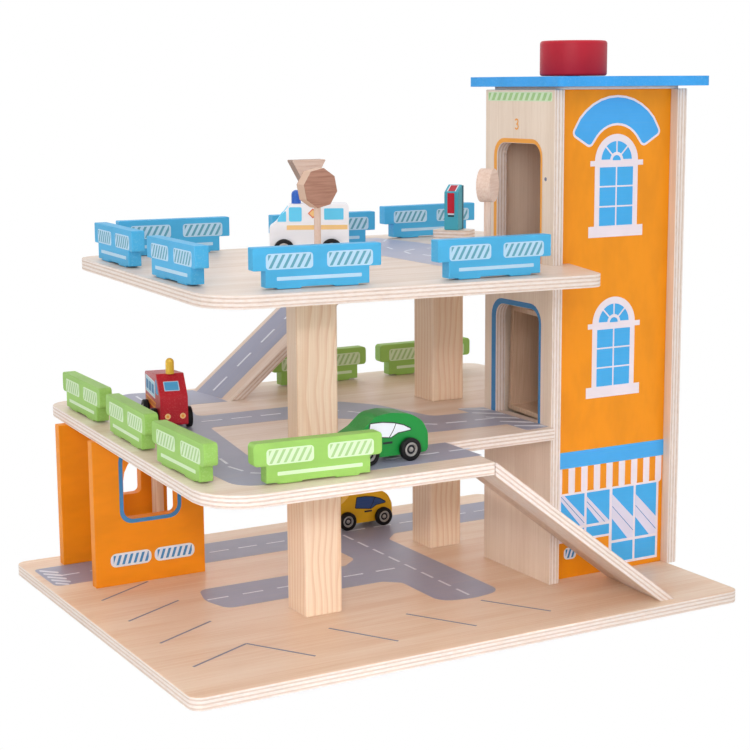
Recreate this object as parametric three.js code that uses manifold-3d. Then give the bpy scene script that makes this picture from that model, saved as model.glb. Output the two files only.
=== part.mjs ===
import * as THREE from "three";
import { mergeVertices } from "three/addons/utils/BufferGeometryUtils.js";
import Module from "manifold-3d";

// A wooden toy parking garage: base board, two decks, two ramps, a lift tower,
// loose barriers and signs, a fuel pump and four small vehicles.
// Millimetres, +X towards the tower, +Y to the back, +Z up.

const wasm = await Module();
wasm.setup();

// Boards
const baseWidth = 450;
const baseDepth = 357;
const baseThickness = 9;
const baseCornerRadius = 9;
const deckThickness = 9;
const panelThickness = 9;
const lowerStoreyHeight = 114.4;
const upperStoreyHeight = 113.2;
const seatClearance = 0.3;
const cutOverrun = 2;
const arcSteps = 5;

// Tower
const towerWidth = 124;
const towerOverhang = 7.5;
const towerDepth = 91.2;
const towerSetback = 84.8;
const frontPanelInset = 7.8;
const roofLeftReach = 3.5;
const roofRightReach = 13.5;
const roofFrontReach = 12;
const roofBackReach = 20;
const roofThickness = 7.4;
const roofCornerRadius = 5;
const locatingFlange = 2.2;
const locatingInset = 5;
const locatingPlugDepth = 9;
const doorwayWidth = 57.5;
const doorwayCornerRadius = 10;
const doorwayFrontMargin = 17.5;
const upperDoorwayHeight = 88.9;
const doorwayHeadMargin = 40;
const lowerDoorwayHeight = 86.6;

// Posts, with their places as shares of the base's width and depth
const postSize = 30;
const postChamfer = 2;
const frontPostShares = [0.3367, 0.3473];
const rearPostShares = [0.72, 0.6555];
const upperRearPostShares = [0.725, 0.6555];
const upperFrontPostYawAngle = -0.216;
const slimPostWidth = 6;
const slimPostDepth = 12;
const slimPostShares = [0.2422, 0.8905];

// Orange walls
const wallWidth = 90.6;
const wallLeftShare = 0.0689;
const frontWallShare = 0.7115;
const rearWallShare = 0.9199;
const windowWidth = 43.6;
const windowSillHeight = 51.5;
const windowRise = 51.5;
const windowLeftInset = 24.4;
const windowFootRadius = 4;

// Deck outlines as shares of the base's width and depth, with corner radii as named sizes
const deckCornerRadius = 34;
const deckBackRadius = 18;
const deckRightRadius = 15;
const deckTongueRadius = 12;
const deckEdgeRadius = 2;
const deckTongueReach = 11.5;
const deckNotchGap = 4.8;
const middleFrontLeftShares = [0.0456, 0.0266];
const middleFrontRightShares = [0.5167, 0.0238];
const middleNotchShare = 0.5278;
const middleBackRightShares = [0.9933, 1.0308];
const middleBackLeftShares = [0.0911, 1.0728];
const upperFrontLeftShares = [0.09, 0.1361];
const upperFrontRightShares = [0.7378, 0.0577];
const upperBackRightShares = [1.0044, 1.0476];
const upperBackLeftShares = [0.1278, 0.9753];

// Ramps
const rampThickness = 8;
const lowerRampRun = 160.5;
const upperRampWidth = 61;
const upperRampRun = 165;
const upperRampYawAngle = 0.124;
const upperRampHeadShares = [0.7467, 0.9227];
const rampHeadEaseNear = 7.5;
const rampHeadEaseFar = 5.5;

// Lift
const knobDiameter = 51.5;
const knobHeight = 26.6;
const knobEdge = 1.4;
const knobLift = 0.4;
const knobSideShare = 0.4395;
const knobBackShare = 0.572;
const spoolDiameter = 16;
const spoolLength = 26;
const spoolFlangeDiameter = 22;
const spoolFlangeThickness = 2;
const spoolDrop = 1.5;
const axleDiameter = 10;
const axleClearance = 0.4;
const axleSocketDepth = 16;
const cordDiameter = 1.6;
const cordClearance = 0.3;
const cordKnotDiameter = 4;
const cordHoleDiameter = 3;
const guideBarDiameter = 4;
const guideBarReach = 14;
const cabinWall = 4;
const cabinSideClearance = 6;
const cabinEndClearance = 1.9;
const cabinHeight = 84;
const cabinTiltAngle = 0.0436;
const cabinFloorDrop = 1.4;

// Barriers
const barrierLength = 92;
const barrierBodyLength = 74.5;
const barrierHeight = 28;
const barrierBarHeight = 15.4;
const barrierThickness = 10;
const barrierFootHeight = 1;
const barrierFootInset = 8;
const barrierFootHalfGap = 12;
const barrierRadius = 0.8;
const greenBarrierRadius = 3;
const blueFrontRowGap = 39.7;
const blueLeftRowGap = 40.3;
const blueBackRowGap = 36;
const greenLeftRowGap = 21;
const greenBackRowGap = 13.8;

const blueFrontRowAngle = -0.1241;
const blueLeftRowAngle = 1.5065;
const blueBackRowAngle = -0.1253;
const greenLeftRowAngle = 1.508;
const greenBackRowAngle = -0.0284;

// Rows of loose barriers: first place as shares, the row's way, its gap, then names with skews off that way
const blueBarrierRows = [
  [0.2778, 0.1843, blueFrontRowAngle, blueFrontRowGap, [
    ["blue_barrier_front_left", 0.0141],
    ["blue_barrier_front_right", 0.0841],
  ]],
  [0.132, 0.4118, blueLeftRowAngle, blueLeftRowGap, [
    ["blue_barrier_left_front", 0.0346],
    ["blue_barrier_left_rear", 0.0085],
  ]],
  [0.2933, 0.9104, blueBackRowAngle, blueBackRowGap, [
    ["blue_barrier_back_left", 0.0311],
    ["blue_barrier_back_middle", 0.0311],
  ]],
  [0.8524, 0.9664, 0, blueBackRowGap, [["blue_barrier_back_right", -0.02]]],
];
const greenBarrierRows = [
  [0.0822, 0.2543, greenLeftRowAngle, greenLeftRowGap, [
    ["green_barrier_left_front", 0.0471],
    ["green_barrier_left_middle", 0.0035],
    ["green_barrier_left_rear", 0.0331],
  ]],
  [0.2327, 0.0831, 0, greenBackRowGap, [["green_barrier_front", -0.0716]]],
  [0.6089, 0.9804, greenBackRowAngle, greenBackRowGap, [
    ["green_barrier_back_left", 0.0284],
    ["green_barrier_back_right", -0.0083],
  ]],
];

// Signs: board across, place shares and turn
const signThickness = 10;
const signPoleDiameter = 5;
const octagonCentreHeight = 61;
const triangleCentreHeight = 65.2;
const discCentreHeight = 62;
const signSocketDepth = 5;
const signSocketClearance = 0.3;
const signBoardSocket = 6;
const octagonWidth = 26.6;
const triangleWidth = 30.8;
const triangleRadius = 0.8;
const discDiameter = 24;
const octagonShares = [0.3684, 0.3922];
const octagonYawAngle = 0.1;
const octagonRollAngle = 0.2;
const triangleShares = [0.5165, 0.7983];
const triangleYawAngle = 0;
const discShares = [0.6044, 0.2241];
const discYawAngle = 0.69;

// Fuel pump
const pumpShares = [0.8144, 0.7681];
const pumpYawAngle = -0.9;
const pumpFootWidth = 32;
const pumpFootDepth = 22;
const pumpFootHeight = 12;
const pumpFootRadius = 4;
const pumpBodyWidth = 12.5;
const pumpBodyDepth = 11;
const pumpBodyHeight = 38;
const pumpTopDrop = 6;
const pumpBodySetback = 3.5;
const pumpBoardWidth = 12.5;
const pumpBoardThickness = 4;
const pumpBoardHeight = 37;
const pumpDisplayWidth = 6;
const pumpDisplayHeight = 17;
const pumpDisplayThickness = 0.8;
const pumpDisplayTopInset = 0.8;

// Vehicles
const vehicleWidth = 21;
const vehicleFloor = 4.2;
const wheelDiameter = 16;
const wheelWidth = 4.5;
const wheelGap = 0.4;
const wheelEdge = 0.7;
const wheelRimDiameter = 9;
const wheelRimDepth = 0.9;
const wheelAxleDiameter = 4;
const wheelAxleClearance = 0.4;
const wheelSteps = 18;
const carLength = 65;
const carHeight = 34.4;
const carFrontWheelInset = 16;
const carRearWheelInset = 16;
const shortCarLength = 60;
const shortCarFrontWheelInset = 14.3;
const shortCarRearWheelInset = 10;
const ambulanceLength = 61.5;
const ambulanceHeight = 42.5;
const ambulanceFrontWheelInset = 11.1;
const ambulanceRearWheelInset = 13.6;
const ambulanceBeaconInset = 21;
const truckLength = 65;
const truckHeight = 41.5;
const truckFrontWheelInset = 13;
const truckRearWheelInset = 14;
const truckBeaconInset = 14;
const beaconHeight = 10.5;
const ambulanceBeaconDiameter = 7.4;
const truckBeaconDiameter = 6.5;
const truckBeaconHeight = 12;
const ambulanceShares = [0.4009, 0.6952];
const ambulanceYawAngle = -0.471;
const greenCarShares = [0.3011, 0.1555];
const yellowCarShares = [0.5842, 0.8866];
const truckShares = [0.188, 0.6154];
const truckYawAngle = 1.357;

// Levels worked out from the sizes above
const middleDeckUnderside = baseThickness + lowerStoreyHeight;
const middleDeckTop = middleDeckUnderside + deckThickness;
const upperDeckUnderside = middleDeckTop + upperStoreyHeight;
const upperDeckTop = upperDeckUnderside + deckThickness;
const towerTop = upperDeckTop + upperDoorwayHeight + doorwayHeadMargin;
const towerHeight = towerTop - baseThickness;
const roofUnderside = towerTop + locatingFlange;
const roofTop = roofUnderside + roofThickness;

// Tower faces worked out from the sizes above
const towerRight = baseWidth + towerOverhang;
const towerLeft = towerRight - towerWidth;
const towerFront = towerSetback;
const towerBack = towerFront + towerDepth;
const shaftLeft = towerLeft + panelThickness;
const shaftRight = towerRight - panelThickness;
const frontPanelFace = towerFront + frontPanelInset;
const shaftFront = frontPanelFace + panelThickness;
const shaftBack = towerBack - panelThickness;

const oak = { color: 0xe6cfae, roughness: 0.62, metalness: 0 };
const pine = { color: 0xe3bd83, roughness: 0.6, metalness: 0 };
const orange = { color: 0xf08a1c, roughness: 0.45, metalness: 0 };
const skyBlue = { color: 0x3fa9f0, roughness: 0.42, metalness: 0 };
const barrierBlue = { color: 0x4fbdf0, roughness: 0.45, metalness: 0 };
const barrierGreen = { color: 0xa6dc63, roughness: 0.45, metalness: 0 };
const knobRed = { color: 0xc0272f, roughness: 0.35, metalness: 0 };
const cordWhite = { color: 0xe9e4d8, roughness: 0.85, metalness: 0 };
const beech = { color: 0xc99f7e, roughness: 0.6, metalness: 0 };
const pumpTeal = { color: 0x3fb0b4, roughness: 0.45, metalness: 0 };
const pumpDark = { color: 0x2d6a78, roughness: 0.45, metalness: 0 };
const carGreen = { color: 0x1f9a3a, roughness: 0.35, metalness: 0 };
const carYellow = { color: 0xe8b31a, roughness: 0.35, metalness: 0 };
const vanWhite = { color: 0xf3f1f2, roughness: 0.4, metalness: 0 };
const lampBlue = { color: 0x2b62c0, roughness: 0.35, metalness: 0 };
const lampYellow = { color: 0xf2c23a, roughness: 0.4, metalness: 0 };
const tyreBlack = { color: 0x1b1a1c, roughness: 0.7, metalness: 0 };

const garage = new THREE.Group();

function addPiece(parent, name, geometry, look) {
  const mesh = new THREE.Mesh(geometry, new THREE.MeshStandardMaterial(look));
  mesh.name = name;
  parent.add(mesh);
  return mesh;
}

// One closed solid from a three.js geometry, with its shared corners merged.
function solidFrom(geometry) {
  const bare = new THREE.BufferGeometry();
  bare.setAttribute("position", geometry.getAttribute("position").clone());
  if (geometry.index) {
    bare.setIndex(geometry.index.clone());
  }
  const merged = mergeVertices(bare, 1e-4);
  const vertProperties = new Float32Array(merged.getAttribute("position").array);
  const triVerts = new Uint32Array(merged.index.array);
  return new wasm.Manifold(new wasm.Mesh({ numProp: 3, vertProperties, triVerts }));
}

function geometryFrom(solid) {
  const mesh = solid.getMesh();
  const geometry = new THREE.BufferGeometry();
  const positions = new Float32Array(mesh.numVert * 3);
  for (let index = 0; index < mesh.numVert; index += 1) {
    for (let axis = 0; axis < 3; axis += 1) {
      positions[index * 3 + axis] = mesh.vertProperties[index * mesh.numProp + axis];
    }
  }
  geometry.setAttribute("position", new THREE.BufferAttribute(positions, 3));
  geometry.setIndex(new THREE.BufferAttribute(new Uint32Array(mesh.triVerts), 1));
  geometry.computeVertexNormals();
  return geometry;
}

// Corner list [x, y, radius] to a closed outline with rounded corners.
function roundedOutline(corners) {
  const points = [];
  const count = corners.length;
  for (let index = 0; index < count; index += 1) {
    const [x, y, radius = 0] = corners[index];
    const before = corners[(index + count - 1) % count];
    const after = corners[(index + 1) % count];
    if (radius === 0) {
      points.push(new THREE.Vector2(x, y));
      continue;
    }
    const corner = new THREE.Vector2(x, y);
    const toBefore = new THREE.Vector2(before[0], before[1]).sub(corner);
    const toAfter = new THREE.Vector2(after[0], after[1]).sub(corner);
    const room = Math.min(toBefore.length(), toAfter.length()) / 2;
    toBefore.normalize();
    toAfter.normalize();
    const half = Math.acos(THREE.MathUtils.clamp(toBefore.dot(toAfter), -1, 1)) / 2;
    const reach = Math.min(radius / Math.tan(half), room);
    const usedRadius = reach * Math.tan(half);
    const centreWay = toBefore.clone().add(toAfter).normalize();
    const centre = corner.clone().addScaledVector(centreWay, usedRadius / Math.sin(half));
    const start = corner.clone().addScaledVector(toBefore, reach).sub(centre);
    const end = corner.clone().addScaledVector(toAfter, reach).sub(centre);
    const turn = Math.atan2(start.cross(end), start.dot(end));
    for (let step = 0; step <= arcSteps; step += 1) {
      const spoke = start.clone().rotateAround(new THREE.Vector2(0, 0), (turn * step) / arcSteps);
      points.push(centre.clone().add(spoke));
    }
  }
  return points;
}

function shapeFrom(corners) {
  return new THREE.Shape(roundedOutline(corners));
}

// Board lying flat: outline in X and Y, from one level up by its thickness.
function flatBoard(corners, level, thickness) {
  const geometry = new THREE.ExtrudeGeometry(shapeFrom(corners), { depth: thickness, bevelEnabled: false });
  geometry.translate(0, 0, level);
  return geometry;
}

// Board standing along X: outline in X and Z, from its front face back by its thickness.
function boardAlongX(corners, front, thickness) {
  const geometry = new THREE.ExtrudeGeometry(shapeFrom(corners), { depth: thickness, bevelEnabled: false });
  geometry.rotateX(Math.PI / 2);
  geometry.translate(0, front + thickness, 0);
  return geometry;
}

// Board standing along Y: outline in Y and Z, from its left face right by its thickness.
function boardAlongY(corners, left, thickness) {
  const geometry = new THREE.ExtrudeGeometry(shapeFrom(corners), { depth: thickness, bevelEnabled: false });
  const turn = new THREE.Matrix4().makeBasis(
    new THREE.Vector3(0, 1, 0),
    new THREE.Vector3(0, 0, 1),
    new THREE.Vector3(1, 0, 0),
  );
  geometry.applyMatrix4(turn);
  geometry.translate(left, 0, 0);
  return geometry;
}

function rectangle(left, low, right, high, radius = 0) {
  return [[left, low, radius], [right, low, radius], [right, high, radius], [left, high, radius]];
}

// Round bar standing on a level.
function standingBar(x, y, level, diameter, length, steps = 20) {
  const geometry = new THREE.CylinderGeometry(diameter / 2, diameter / 2, length, steps);
  geometry.rotateX(Math.PI / 2);
  geometry.translate(x, y, level + length / 2);
  return geometry;
}

function drilled(geometry, cutters) {
  let solid = solidFrom(geometry);
  for (const cutter of cutters) {
    solid = solid.subtract(solidFrom(cutter));
  }
  return geometryFrom(solid);
}

function place(shares) {
  return [shares[0] * baseWidth, shares[1] * baseDepth];
}

function boxBoard(left, front, low, width, depth, height) {
  const geometry = new THREE.BoxGeometry(width, depth, height);
  geometry.translate(left + width / 2, front + depth / 2, low + height / 2);
  return geometry;
}

// Solid of revolution about a standing axis; its profile is [radius, level] from axis to axis.
function turnedSolid(profile, steps) {
  const points = profile.map(([radius, level]) => new THREE.Vector2(radius, level));
  const geometry = new THREE.LatheGeometry(points, steps);
  geometry.rotateX(Math.PI / 2);
  return geometryFrom(solidFrom(geometry));
}

// Cord of round section along points that share one x.
function sweptCord(points, diameter, sides = 8) {
  const positions = [];
  const faces = [];
  const across = new THREE.Vector3(1, 0, 0);
  for (let index = 0; index < points.length; index += 1) {
    const before = points[Math.max(index - 1, 0)];
    const after = points[Math.min(index + 1, points.length - 1)];
    const along = after.clone().sub(before).normalize();
    const outward = along.clone().cross(across);
    for (let side = 0; side < sides; side += 1) {
      const angle = (2 * Math.PI * side) / sides;
      const spot = points[index].clone();
      spot.addScaledVector(across, (Math.cos(angle) * diameter) / 2);
      spot.addScaledVector(outward, (Math.sin(angle) * diameter) / 2);
      positions.push(spot.x, spot.y, spot.z);
    }
  }
  for (let index = 0; index + 1 < points.length; index += 1) {
    for (let side = 0; side < sides; side += 1) {
      const next = (side + 1) % sides;
      const low = index * sides;
      const high = low + sides;
      faces.push(low + side, low + next, high + side);
      faces.push(low + next, high + next, high + side);
    }
  }
  const last = (points.length - 1) * sides;
  for (let side = 1; side + 1 < sides; side += 1) {
    faces.push(0, side + 1, side);
    faces.push(last, last + side, last + side + 1);
  }
  const geometry = new THREE.BufferGeometry();
  geometry.setAttribute("position", new THREE.Float32BufferAttribute(positions, 3));
  geometry.setIndex(faces);
  return geometry;
}

function addBoards() {
  const base = rectangle(0, 0, baseWidth, baseDepth, baseCornerRadius);
  addPiece(garage, "base_board", flatBoard(base, 0, baseThickness), oak);

  const [frontLeftX, frontLeftY] = place(middleFrontLeftShares);
  const [frontRightX, frontRightY] = place(middleFrontRightShares);
  const [backRightX, backRightY] = place(middleBackRightShares);
  const [backLeftX, backLeftY] = place(middleBackLeftShares);
  const notchFront = towerFront - deckNotchGap;
  const middle = [
    [frontLeftX, frontLeftY, deckCornerRadius],
    [frontRightX, frontRightY, deckEdgeRadius],
    [middleNotchShare * baseWidth, notchFront],
    [towerLeft, notchFront],
    [towerLeft, towerBack],
    [backRightX, towerBack],
    [backRightX, backRightY, deckRightRadius],
    [backLeftX, backLeftY, deckBackRadius],
  ];
  addPiece(garage, "middle_deck", flatBoard(middle, middleDeckUnderside, deckThickness), oak);
}

function addUpperDeck() {
  const [frontLeftX, frontLeftY] = place(upperFrontLeftShares);
  const [frontRightX, frontRightY] = place(upperFrontRightShares);
  const [backRightX, backRightY] = place(upperBackRightShares);
  const [backLeftX, backLeftY] = place(upperBackLeftShares);
  const [headX, headY] = place(upperRampHeadShares);
  const along = [Math.cos(upperRampYawAngle), Math.sin(upperRampYawAngle)];
  const across = [-along[1], along[0]];
  const headAt = (reach) => [
    headX + seatClearance * along[0] + reach * across[0],
    headY + seatClearance * along[1] + reach * across[1],
  ];
  const [farX, farY] = headAt(upperRampWidth - rampHeadEaseFar);
  const [nearX, nearY] = headAt(-rampHeadEaseNear);
  const outline = [
    [frontLeftX, frontLeftY, deckCornerRadius],
    [frontRightX, frontRightY, deckTongueRadius],
    [shaftLeft + deckTongueReach, frontPanelFace],
    [shaftLeft, frontPanelFace],
    [shaftLeft, towerFront],
    [towerLeft, towerFront],
    [towerLeft, towerBack],
    [towerRight, towerBack],
    [backRightX, backRightY, deckRightRadius],
    [farX, farY],
    [nearX, nearY],
    [backLeftX, backLeftY, deckBackRadius],
  ];
  const holes = [octagonShares, triangleShares, discShares].map((shares) => {
    const [x, y] = place(shares);
    const diameter = signPoleDiameter + 2 * signSocketClearance;
    return standingBar(x, y, upperDeckTop - signSocketDepth, diameter, signSocketDepth + cutOverrun, 16);
  });
  const board = flatBoard(outline, upperDeckUnderside, deckThickness);
  addPiece(garage, "upper_deck", drilled(board, holes), oak);
}

function addPosts() {
  const half = postSize / 2;
  const square = rectangle(-half, -half, half, half, postChamfer);
  const posts = [
    ["lower_front_post", frontPostShares, 0, baseThickness, lowerStoreyHeight],
    ["lower_rear_post", rearPostShares, 0, baseThickness, lowerStoreyHeight],
    ["upper_front_post", frontPostShares, upperFrontPostYawAngle, middleDeckTop, upperStoreyHeight],
    ["upper_rear_post", upperRearPostShares, 0, middleDeckTop, upperStoreyHeight],
  ];
  for (const [name, shares, turn, level, height] of posts) {
    const [x, y] = place(shares);
    const geometry = flatBoard(square, level, height);
    geometry.rotateZ(turn);
    geometry.translate(x, y, 0);
    addPiece(garage, name, geometry, pine);
  }
  const [slimX, slimY] = place(slimPostShares);
  const slim = boxBoard(
    slimX - slimPostWidth / 2,
    slimY - slimPostDepth / 2,
    baseThickness,
    slimPostWidth,
    slimPostDepth,
    lowerStoreyHeight,
  );
  addPiece(garage, "slim_post", slim, pine);
}

function addWalls() {
  const left = wallLeftShare * baseWidth;
  const windowLeft = left + windowLeftInset;
  const windowRight = windowLeft + windowWidth;
  const sill = baseThickness + windowSillHeight;
  const head = sill + windowRise;
  const archRadius = windowWidth / 2;
  const outline = rectangle(left, baseThickness, left + wallWidth, middleDeckUnderside);
  const opening = [
    [windowLeft, sill, windowFootRadius],
    [windowRight, sill, windowFootRadius],
    [windowRight, head, archRadius],
    [windowLeft, head, archRadius],
  ];
  const walls = [["front_wall", frontWallShare], ["rear_wall", rearWallShare]];
  for (const [name, share] of walls) {
    const front = share * baseDepth;
    const board = boardAlongX(outline, front, panelThickness);
    const cutter = boardAlongX(opening, front - cutOverrun, panelThickness + 2 * cutOverrun);
    addPiece(garage, name, drilled(board, [cutter]), orange);
  }
}

function addLowerRamp() {
  const [headX, headFront] = place(middleFrontRightShares);
  const headBack = towerFront - deckNotchGap;
  const rise = middleDeckTop - baseThickness;
  const slope = Math.atan2(rise, lowerRampRun);
  const skew = (middleNotchShare * baseWidth - headX) / (headBack - headFront);
  const start = headX + seatClearance;
  const profile = [
    [start, middleDeckTop],
    [start, middleDeckTop - rampThickness / Math.cos(slope)],
    [start + lowerRampRun - rampThickness / Math.sin(slope), baseThickness],
    [start + lowerRampRun, baseThickness],
  ];
  const geometry = boardAlongX(profile, headFront, headBack - headFront);
  const shear = new THREE.Matrix4().set(
    1, skew, 0, -skew * headFront,
    0, 1, 0, 0,
    0, 0, 1, 0,
    0, 0, 0, 1,
  );
  geometry.applyMatrix4(shear);
  addPiece(garage, "lower_ramp", geometryFrom(solidFrom(geometry)), oak);
}

function addUpperRamp() {
  const [headX, headY] = place(upperRampHeadShares);
  const rise = upperDeckTop - middleDeckTop;
  const slope = Math.atan2(rise, upperRampRun);
  const profile = [
    [0, upperDeckTop],
    [-upperRampRun, middleDeckTop],
    [-upperRampRun + rampThickness / Math.sin(slope), middleDeckTop],
    [0, upperDeckTop - rampThickness / Math.cos(slope)],
  ];
  const group = new THREE.Group();
  group.name = "upper_ramp_turn";
  group.position.set(headX, headY, 0);
  group.rotation.z = upperRampYawAngle;
  garage.add(group);
  addPiece(group, "upper_ramp", boardAlongX(profile, 0, upperRampWidth), oak);
}

function addTowerPanels() {
  const side = rectangle(towerFront, baseThickness, towerBack, towerTop);
  const doorFront = towerFront + doorwayFrontMargin;
  const doorBack = doorFront + doorwayWidth;
  const doorways = [[middleDeckTop, lowerDoorwayHeight], [upperDeckTop, upperDoorwayHeight]];
  const cutters = doorways.map(([level, height]) => {
    const corners = [
      [doorFront, level],
      [doorBack, level],
      [doorBack, level + height, doorwayCornerRadius],
      [doorFront, level + height, doorwayCornerRadius],
    ];
    return boardAlongY(corners, towerLeft - cutOverrun, panelThickness + 2 * cutOverrun);
  });
  const left = boardAlongY(side, towerLeft, panelThickness);
  addPiece(garage, "tower_left_panel", drilled(left, cutters), oak);
  addPiece(garage, "tower_right_panel", boardAlongY(side, shaftRight, panelThickness), oak);
  const shaftWidth = shaftRight - shaftLeft;
  const front = boxBoard(shaftLeft, frontPanelFace, baseThickness, shaftWidth, panelThickness, towerHeight);
  addPiece(garage, "tower_front_panel", front, orange);
  const back = boxBoard(shaftLeft, shaftBack, baseThickness, shaftWidth, panelThickness, towerHeight);
  addPiece(garage, "tower_back_panel", back, oak);
}

const spindleX = towerLeft + knobSideShare * towerWidth;
const spindleY = towerFront + knobBackShare * towerDepth;
const axleHole = axleDiameter + 2 * axleClearance;

function addRoof() {
  const outline = rectangle(
    towerLeft - roofLeftReach,
    towerFront - roofFrontReach,
    towerRight + roofRightReach,
    towerBack + roofBackReach,
    roofCornerRadius,
  );
  const roofHole = standingBar(
    spindleX, spindleY, roofUnderside - cutOverrun, axleHole, roofThickness + 2 * cutOverrun, 24,
  );
  const roof = flatBoard(outline, roofUnderside, roofThickness);
  addPiece(garage, "tower_roof", drilled(roof, [roofHole]), skyBlue);

  const flange = boxBoard(
    towerLeft + locatingInset,
    towerFront + locatingInset,
    towerTop,
    towerWidth - 2 * locatingInset,
    towerDepth - 2 * locatingInset,
    locatingFlange,
  );
  const plug = boxBoard(
    shaftLeft + seatClearance,
    shaftFront + seatClearance,
    towerTop - locatingPlugDepth,
    shaftRight - shaftLeft - 2 * seatClearance,
    shaftBack - shaftFront - 2 * seatClearance,
    locatingPlugDepth + locatingFlange,
  );
  const plugHole = standingBar(
    spindleX,
    spindleY,
    towerTop - locatingPlugDepth - cutOverrun,
    axleHole,
    locatingPlugDepth + locatingFlange + 2 * cutOverrun,
    24,
  );
  const locating = solidFrom(flange).add(solidFrom(plug)).subtract(solidFrom(plugHole));
  addPiece(garage, "roof_locating_board", geometryFrom(locating), oak);
}

const spoolTop = towerTop - locatingPlugDepth - spoolDrop;
const spoolBottom = spoolTop - spoolLength;
const cordLevel = (spoolTop + spoolBottom) / 2;
const cordBend = guideBarDiameter / 2 + cordClearance + cordDiameter / 2;
const cordX = spindleX + spoolDiameter / 2 + cordClearance + cordDiameter / 2;
const guideBarY = spindleY + guideBarReach;
const guideBarLevel = cordLevel - cordBend;

function addLiftDrive() {
  const low = roofTop + knobLift;
  const high = low + knobHeight;
  const radius = knobDiameter / 2;
  const socketTop = low + axleSocketDepth;
  const knobProfile = [
    [0, low],
    [radius - knobEdge, low],
    [radius, low + knobEdge],
    [radius, high - knobEdge],
    [radius - knobEdge, high],
    [0, high],
  ];
  const knob = turnedSolid(knobProfile, 48);
  knob.translate(spindleX, spindleY, 0);
  const socket = standingBar(
    spindleX, spindleY, low - cutOverrun, axleDiameter + axleClearance, axleSocketDepth + cutOverrun, 24,
  );
  addPiece(garage, "lift_knob", drilled(knob, [socket]), knobRed);

  const spool = spoolDiameter / 2;
  const flange = spoolFlangeDiameter / 2;
  const spindleProfile = [
    [0, spoolBottom],
    [flange, spoolBottom],
    [flange, spoolBottom + spoolFlangeThickness],
    [spool, spoolBottom + spoolFlangeThickness],
    [spool, spoolTop - spoolFlangeThickness],
    [flange, spoolTop - spoolFlangeThickness],
    [flange, spoolTop],
    [axleDiameter / 2, spoolTop],
    [axleDiameter / 2, socketTop],
    [0, socketTop],
  ];
  const spindle = turnedSolid(spindleProfile, 24);
  spindle.translate(spindleX, spindleY, 0);
  addPiece(garage, "winding_spindle", spindle, beech);

  const bar = new THREE.CylinderGeometry(
    guideBarDiameter / 2, guideBarDiameter / 2, shaftRight - shaftLeft, 16,
  );
  bar.rotateZ(Math.PI / 2);
  bar.translate((shaftLeft + shaftRight) / 2, guideBarY, guideBarLevel);
  addPiece(garage, "cord_guide_bar", bar, beech);
}

function addCabinAndCord() {
  const width = shaftRight - shaftLeft - 2 * cabinSideClearance;
  const lean = cabinHeight * Math.sin(cabinTiltAngle);
  const depth = shaftBack - shaftFront - 2 * cabinEndClearance - lean;
  const group = new THREE.Group();
  group.name = "lift_cabin_turn";
  group.position.set(
    (shaftLeft + shaftRight) / 2,
    shaftBack - cabinEndClearance - depth / 2,
    middleDeckTop - cabinFloorDrop,
  );
  group.rotation.x = cabinTiltAngle;
  garage.add(group);
  group.updateMatrixWorld(true);
  const inward = group.matrixWorld.clone().invert();

  const shell = boxBoard(-width / 2, -depth / 2, 0, width, depth, cabinHeight);
  const hollow = boxBoard(
    -width / 2 - cutOverrun,
    -depth / 2 + cabinWall,
    cabinWall,
    width - cabinWall + cutOverrun,
    depth - 2 * cabinWall,
    cabinHeight - 2 * cabinWall,
  );
  const dropY = guideBarY + cordBend;
  const roofSpot = new THREE.Vector3(cordX, dropY, middleDeckTop + cabinHeight).applyMatrix4(inward);
  const ceiling = new THREE.Vector3(roofSpot.x, roofSpot.y, cabinHeight - cabinWall);
  ceiling.applyMatrix4(group.matrixWorld);
  const hole = standingBar(
    cordX, dropY, ceiling.z - cutOverrun, cordHoleDiameter, cabinWall + 2 * cutOverrun, 12,
  );
  hole.applyMatrix4(inward);
  addPiece(group, "lift_cabin", drilled(shell, [hollow, hole]), oak);

  const knotLevel = ceiling.z - cordKnotDiameter / 2 - cordClearance;
  const points = [new THREE.Vector3(cordX, spindleY, cordLevel)];
  for (let step = 0; step <= arcSteps; step += 1) {
    const angle = (Math.PI / 2) * (step / arcSteps);
    const y = guideBarY + cordBend * Math.sin(angle);
    const z = guideBarLevel + cordBend * Math.cos(angle);
    points.push(new THREE.Vector3(cordX, y, z));
  }
  points.push(new THREE.Vector3(cordX, dropY, knotLevel));
  const knot = new THREE.SphereGeometry(cordKnotDiameter / 2, 12, 8);
  knot.translate(cordX, dropY, knotLevel);
  const cord = solidFrom(sweptCord(points, cordDiameter)).add(solidFrom(knot));
  addPiece(garage, "lift_cord", geometryFrom(cord), cordWhite);
}

function barrierOutline(radius) {
  const halfBar = barrierLength / 2;
  const halfBody = barrierBodyLength / 2;
  const footOut = halfBody - barrierFootInset;
  const shoulder = barrierHeight - barrierBarHeight;
  const right = [
    [barrierFootHalfGap, barrierFootHeight],
    [barrierFootHalfGap, 0],
    [footOut, 0],
    [footOut, barrierFootHeight],
    [halfBody, barrierFootHeight],
    [halfBody, shoulder],
    [halfBar, shoulder, radius],
    [halfBar, barrierHeight, radius],
  ];
  const left = right.map(([x, z, corner]) => [-x, z, corner]).reverse();
  return [...right, ...left];
}

function addBarriers(rows, level, radius, look) {
  const outline = barrierOutline(radius);
  for (const [xShare, yShare, way, gap, members] of rows) {
    const pitch = barrierLength + gap;
    for (let index = 0; index < members.length; index += 1) {
      const [name, skew] = members[index];
      const geometry = boardAlongX(outline, -barrierThickness / 2, barrierThickness);
      const mesh = addPiece(garage, name, geometry, look);
      const x = xShare * baseWidth + index * pitch * Math.cos(way);
      const y = yShare * baseDepth + index * pitch * Math.sin(way);
      mesh.position.set(x, y, level + seatClearance);
      mesh.rotation.z = way + skew;
    }
  }
}

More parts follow.
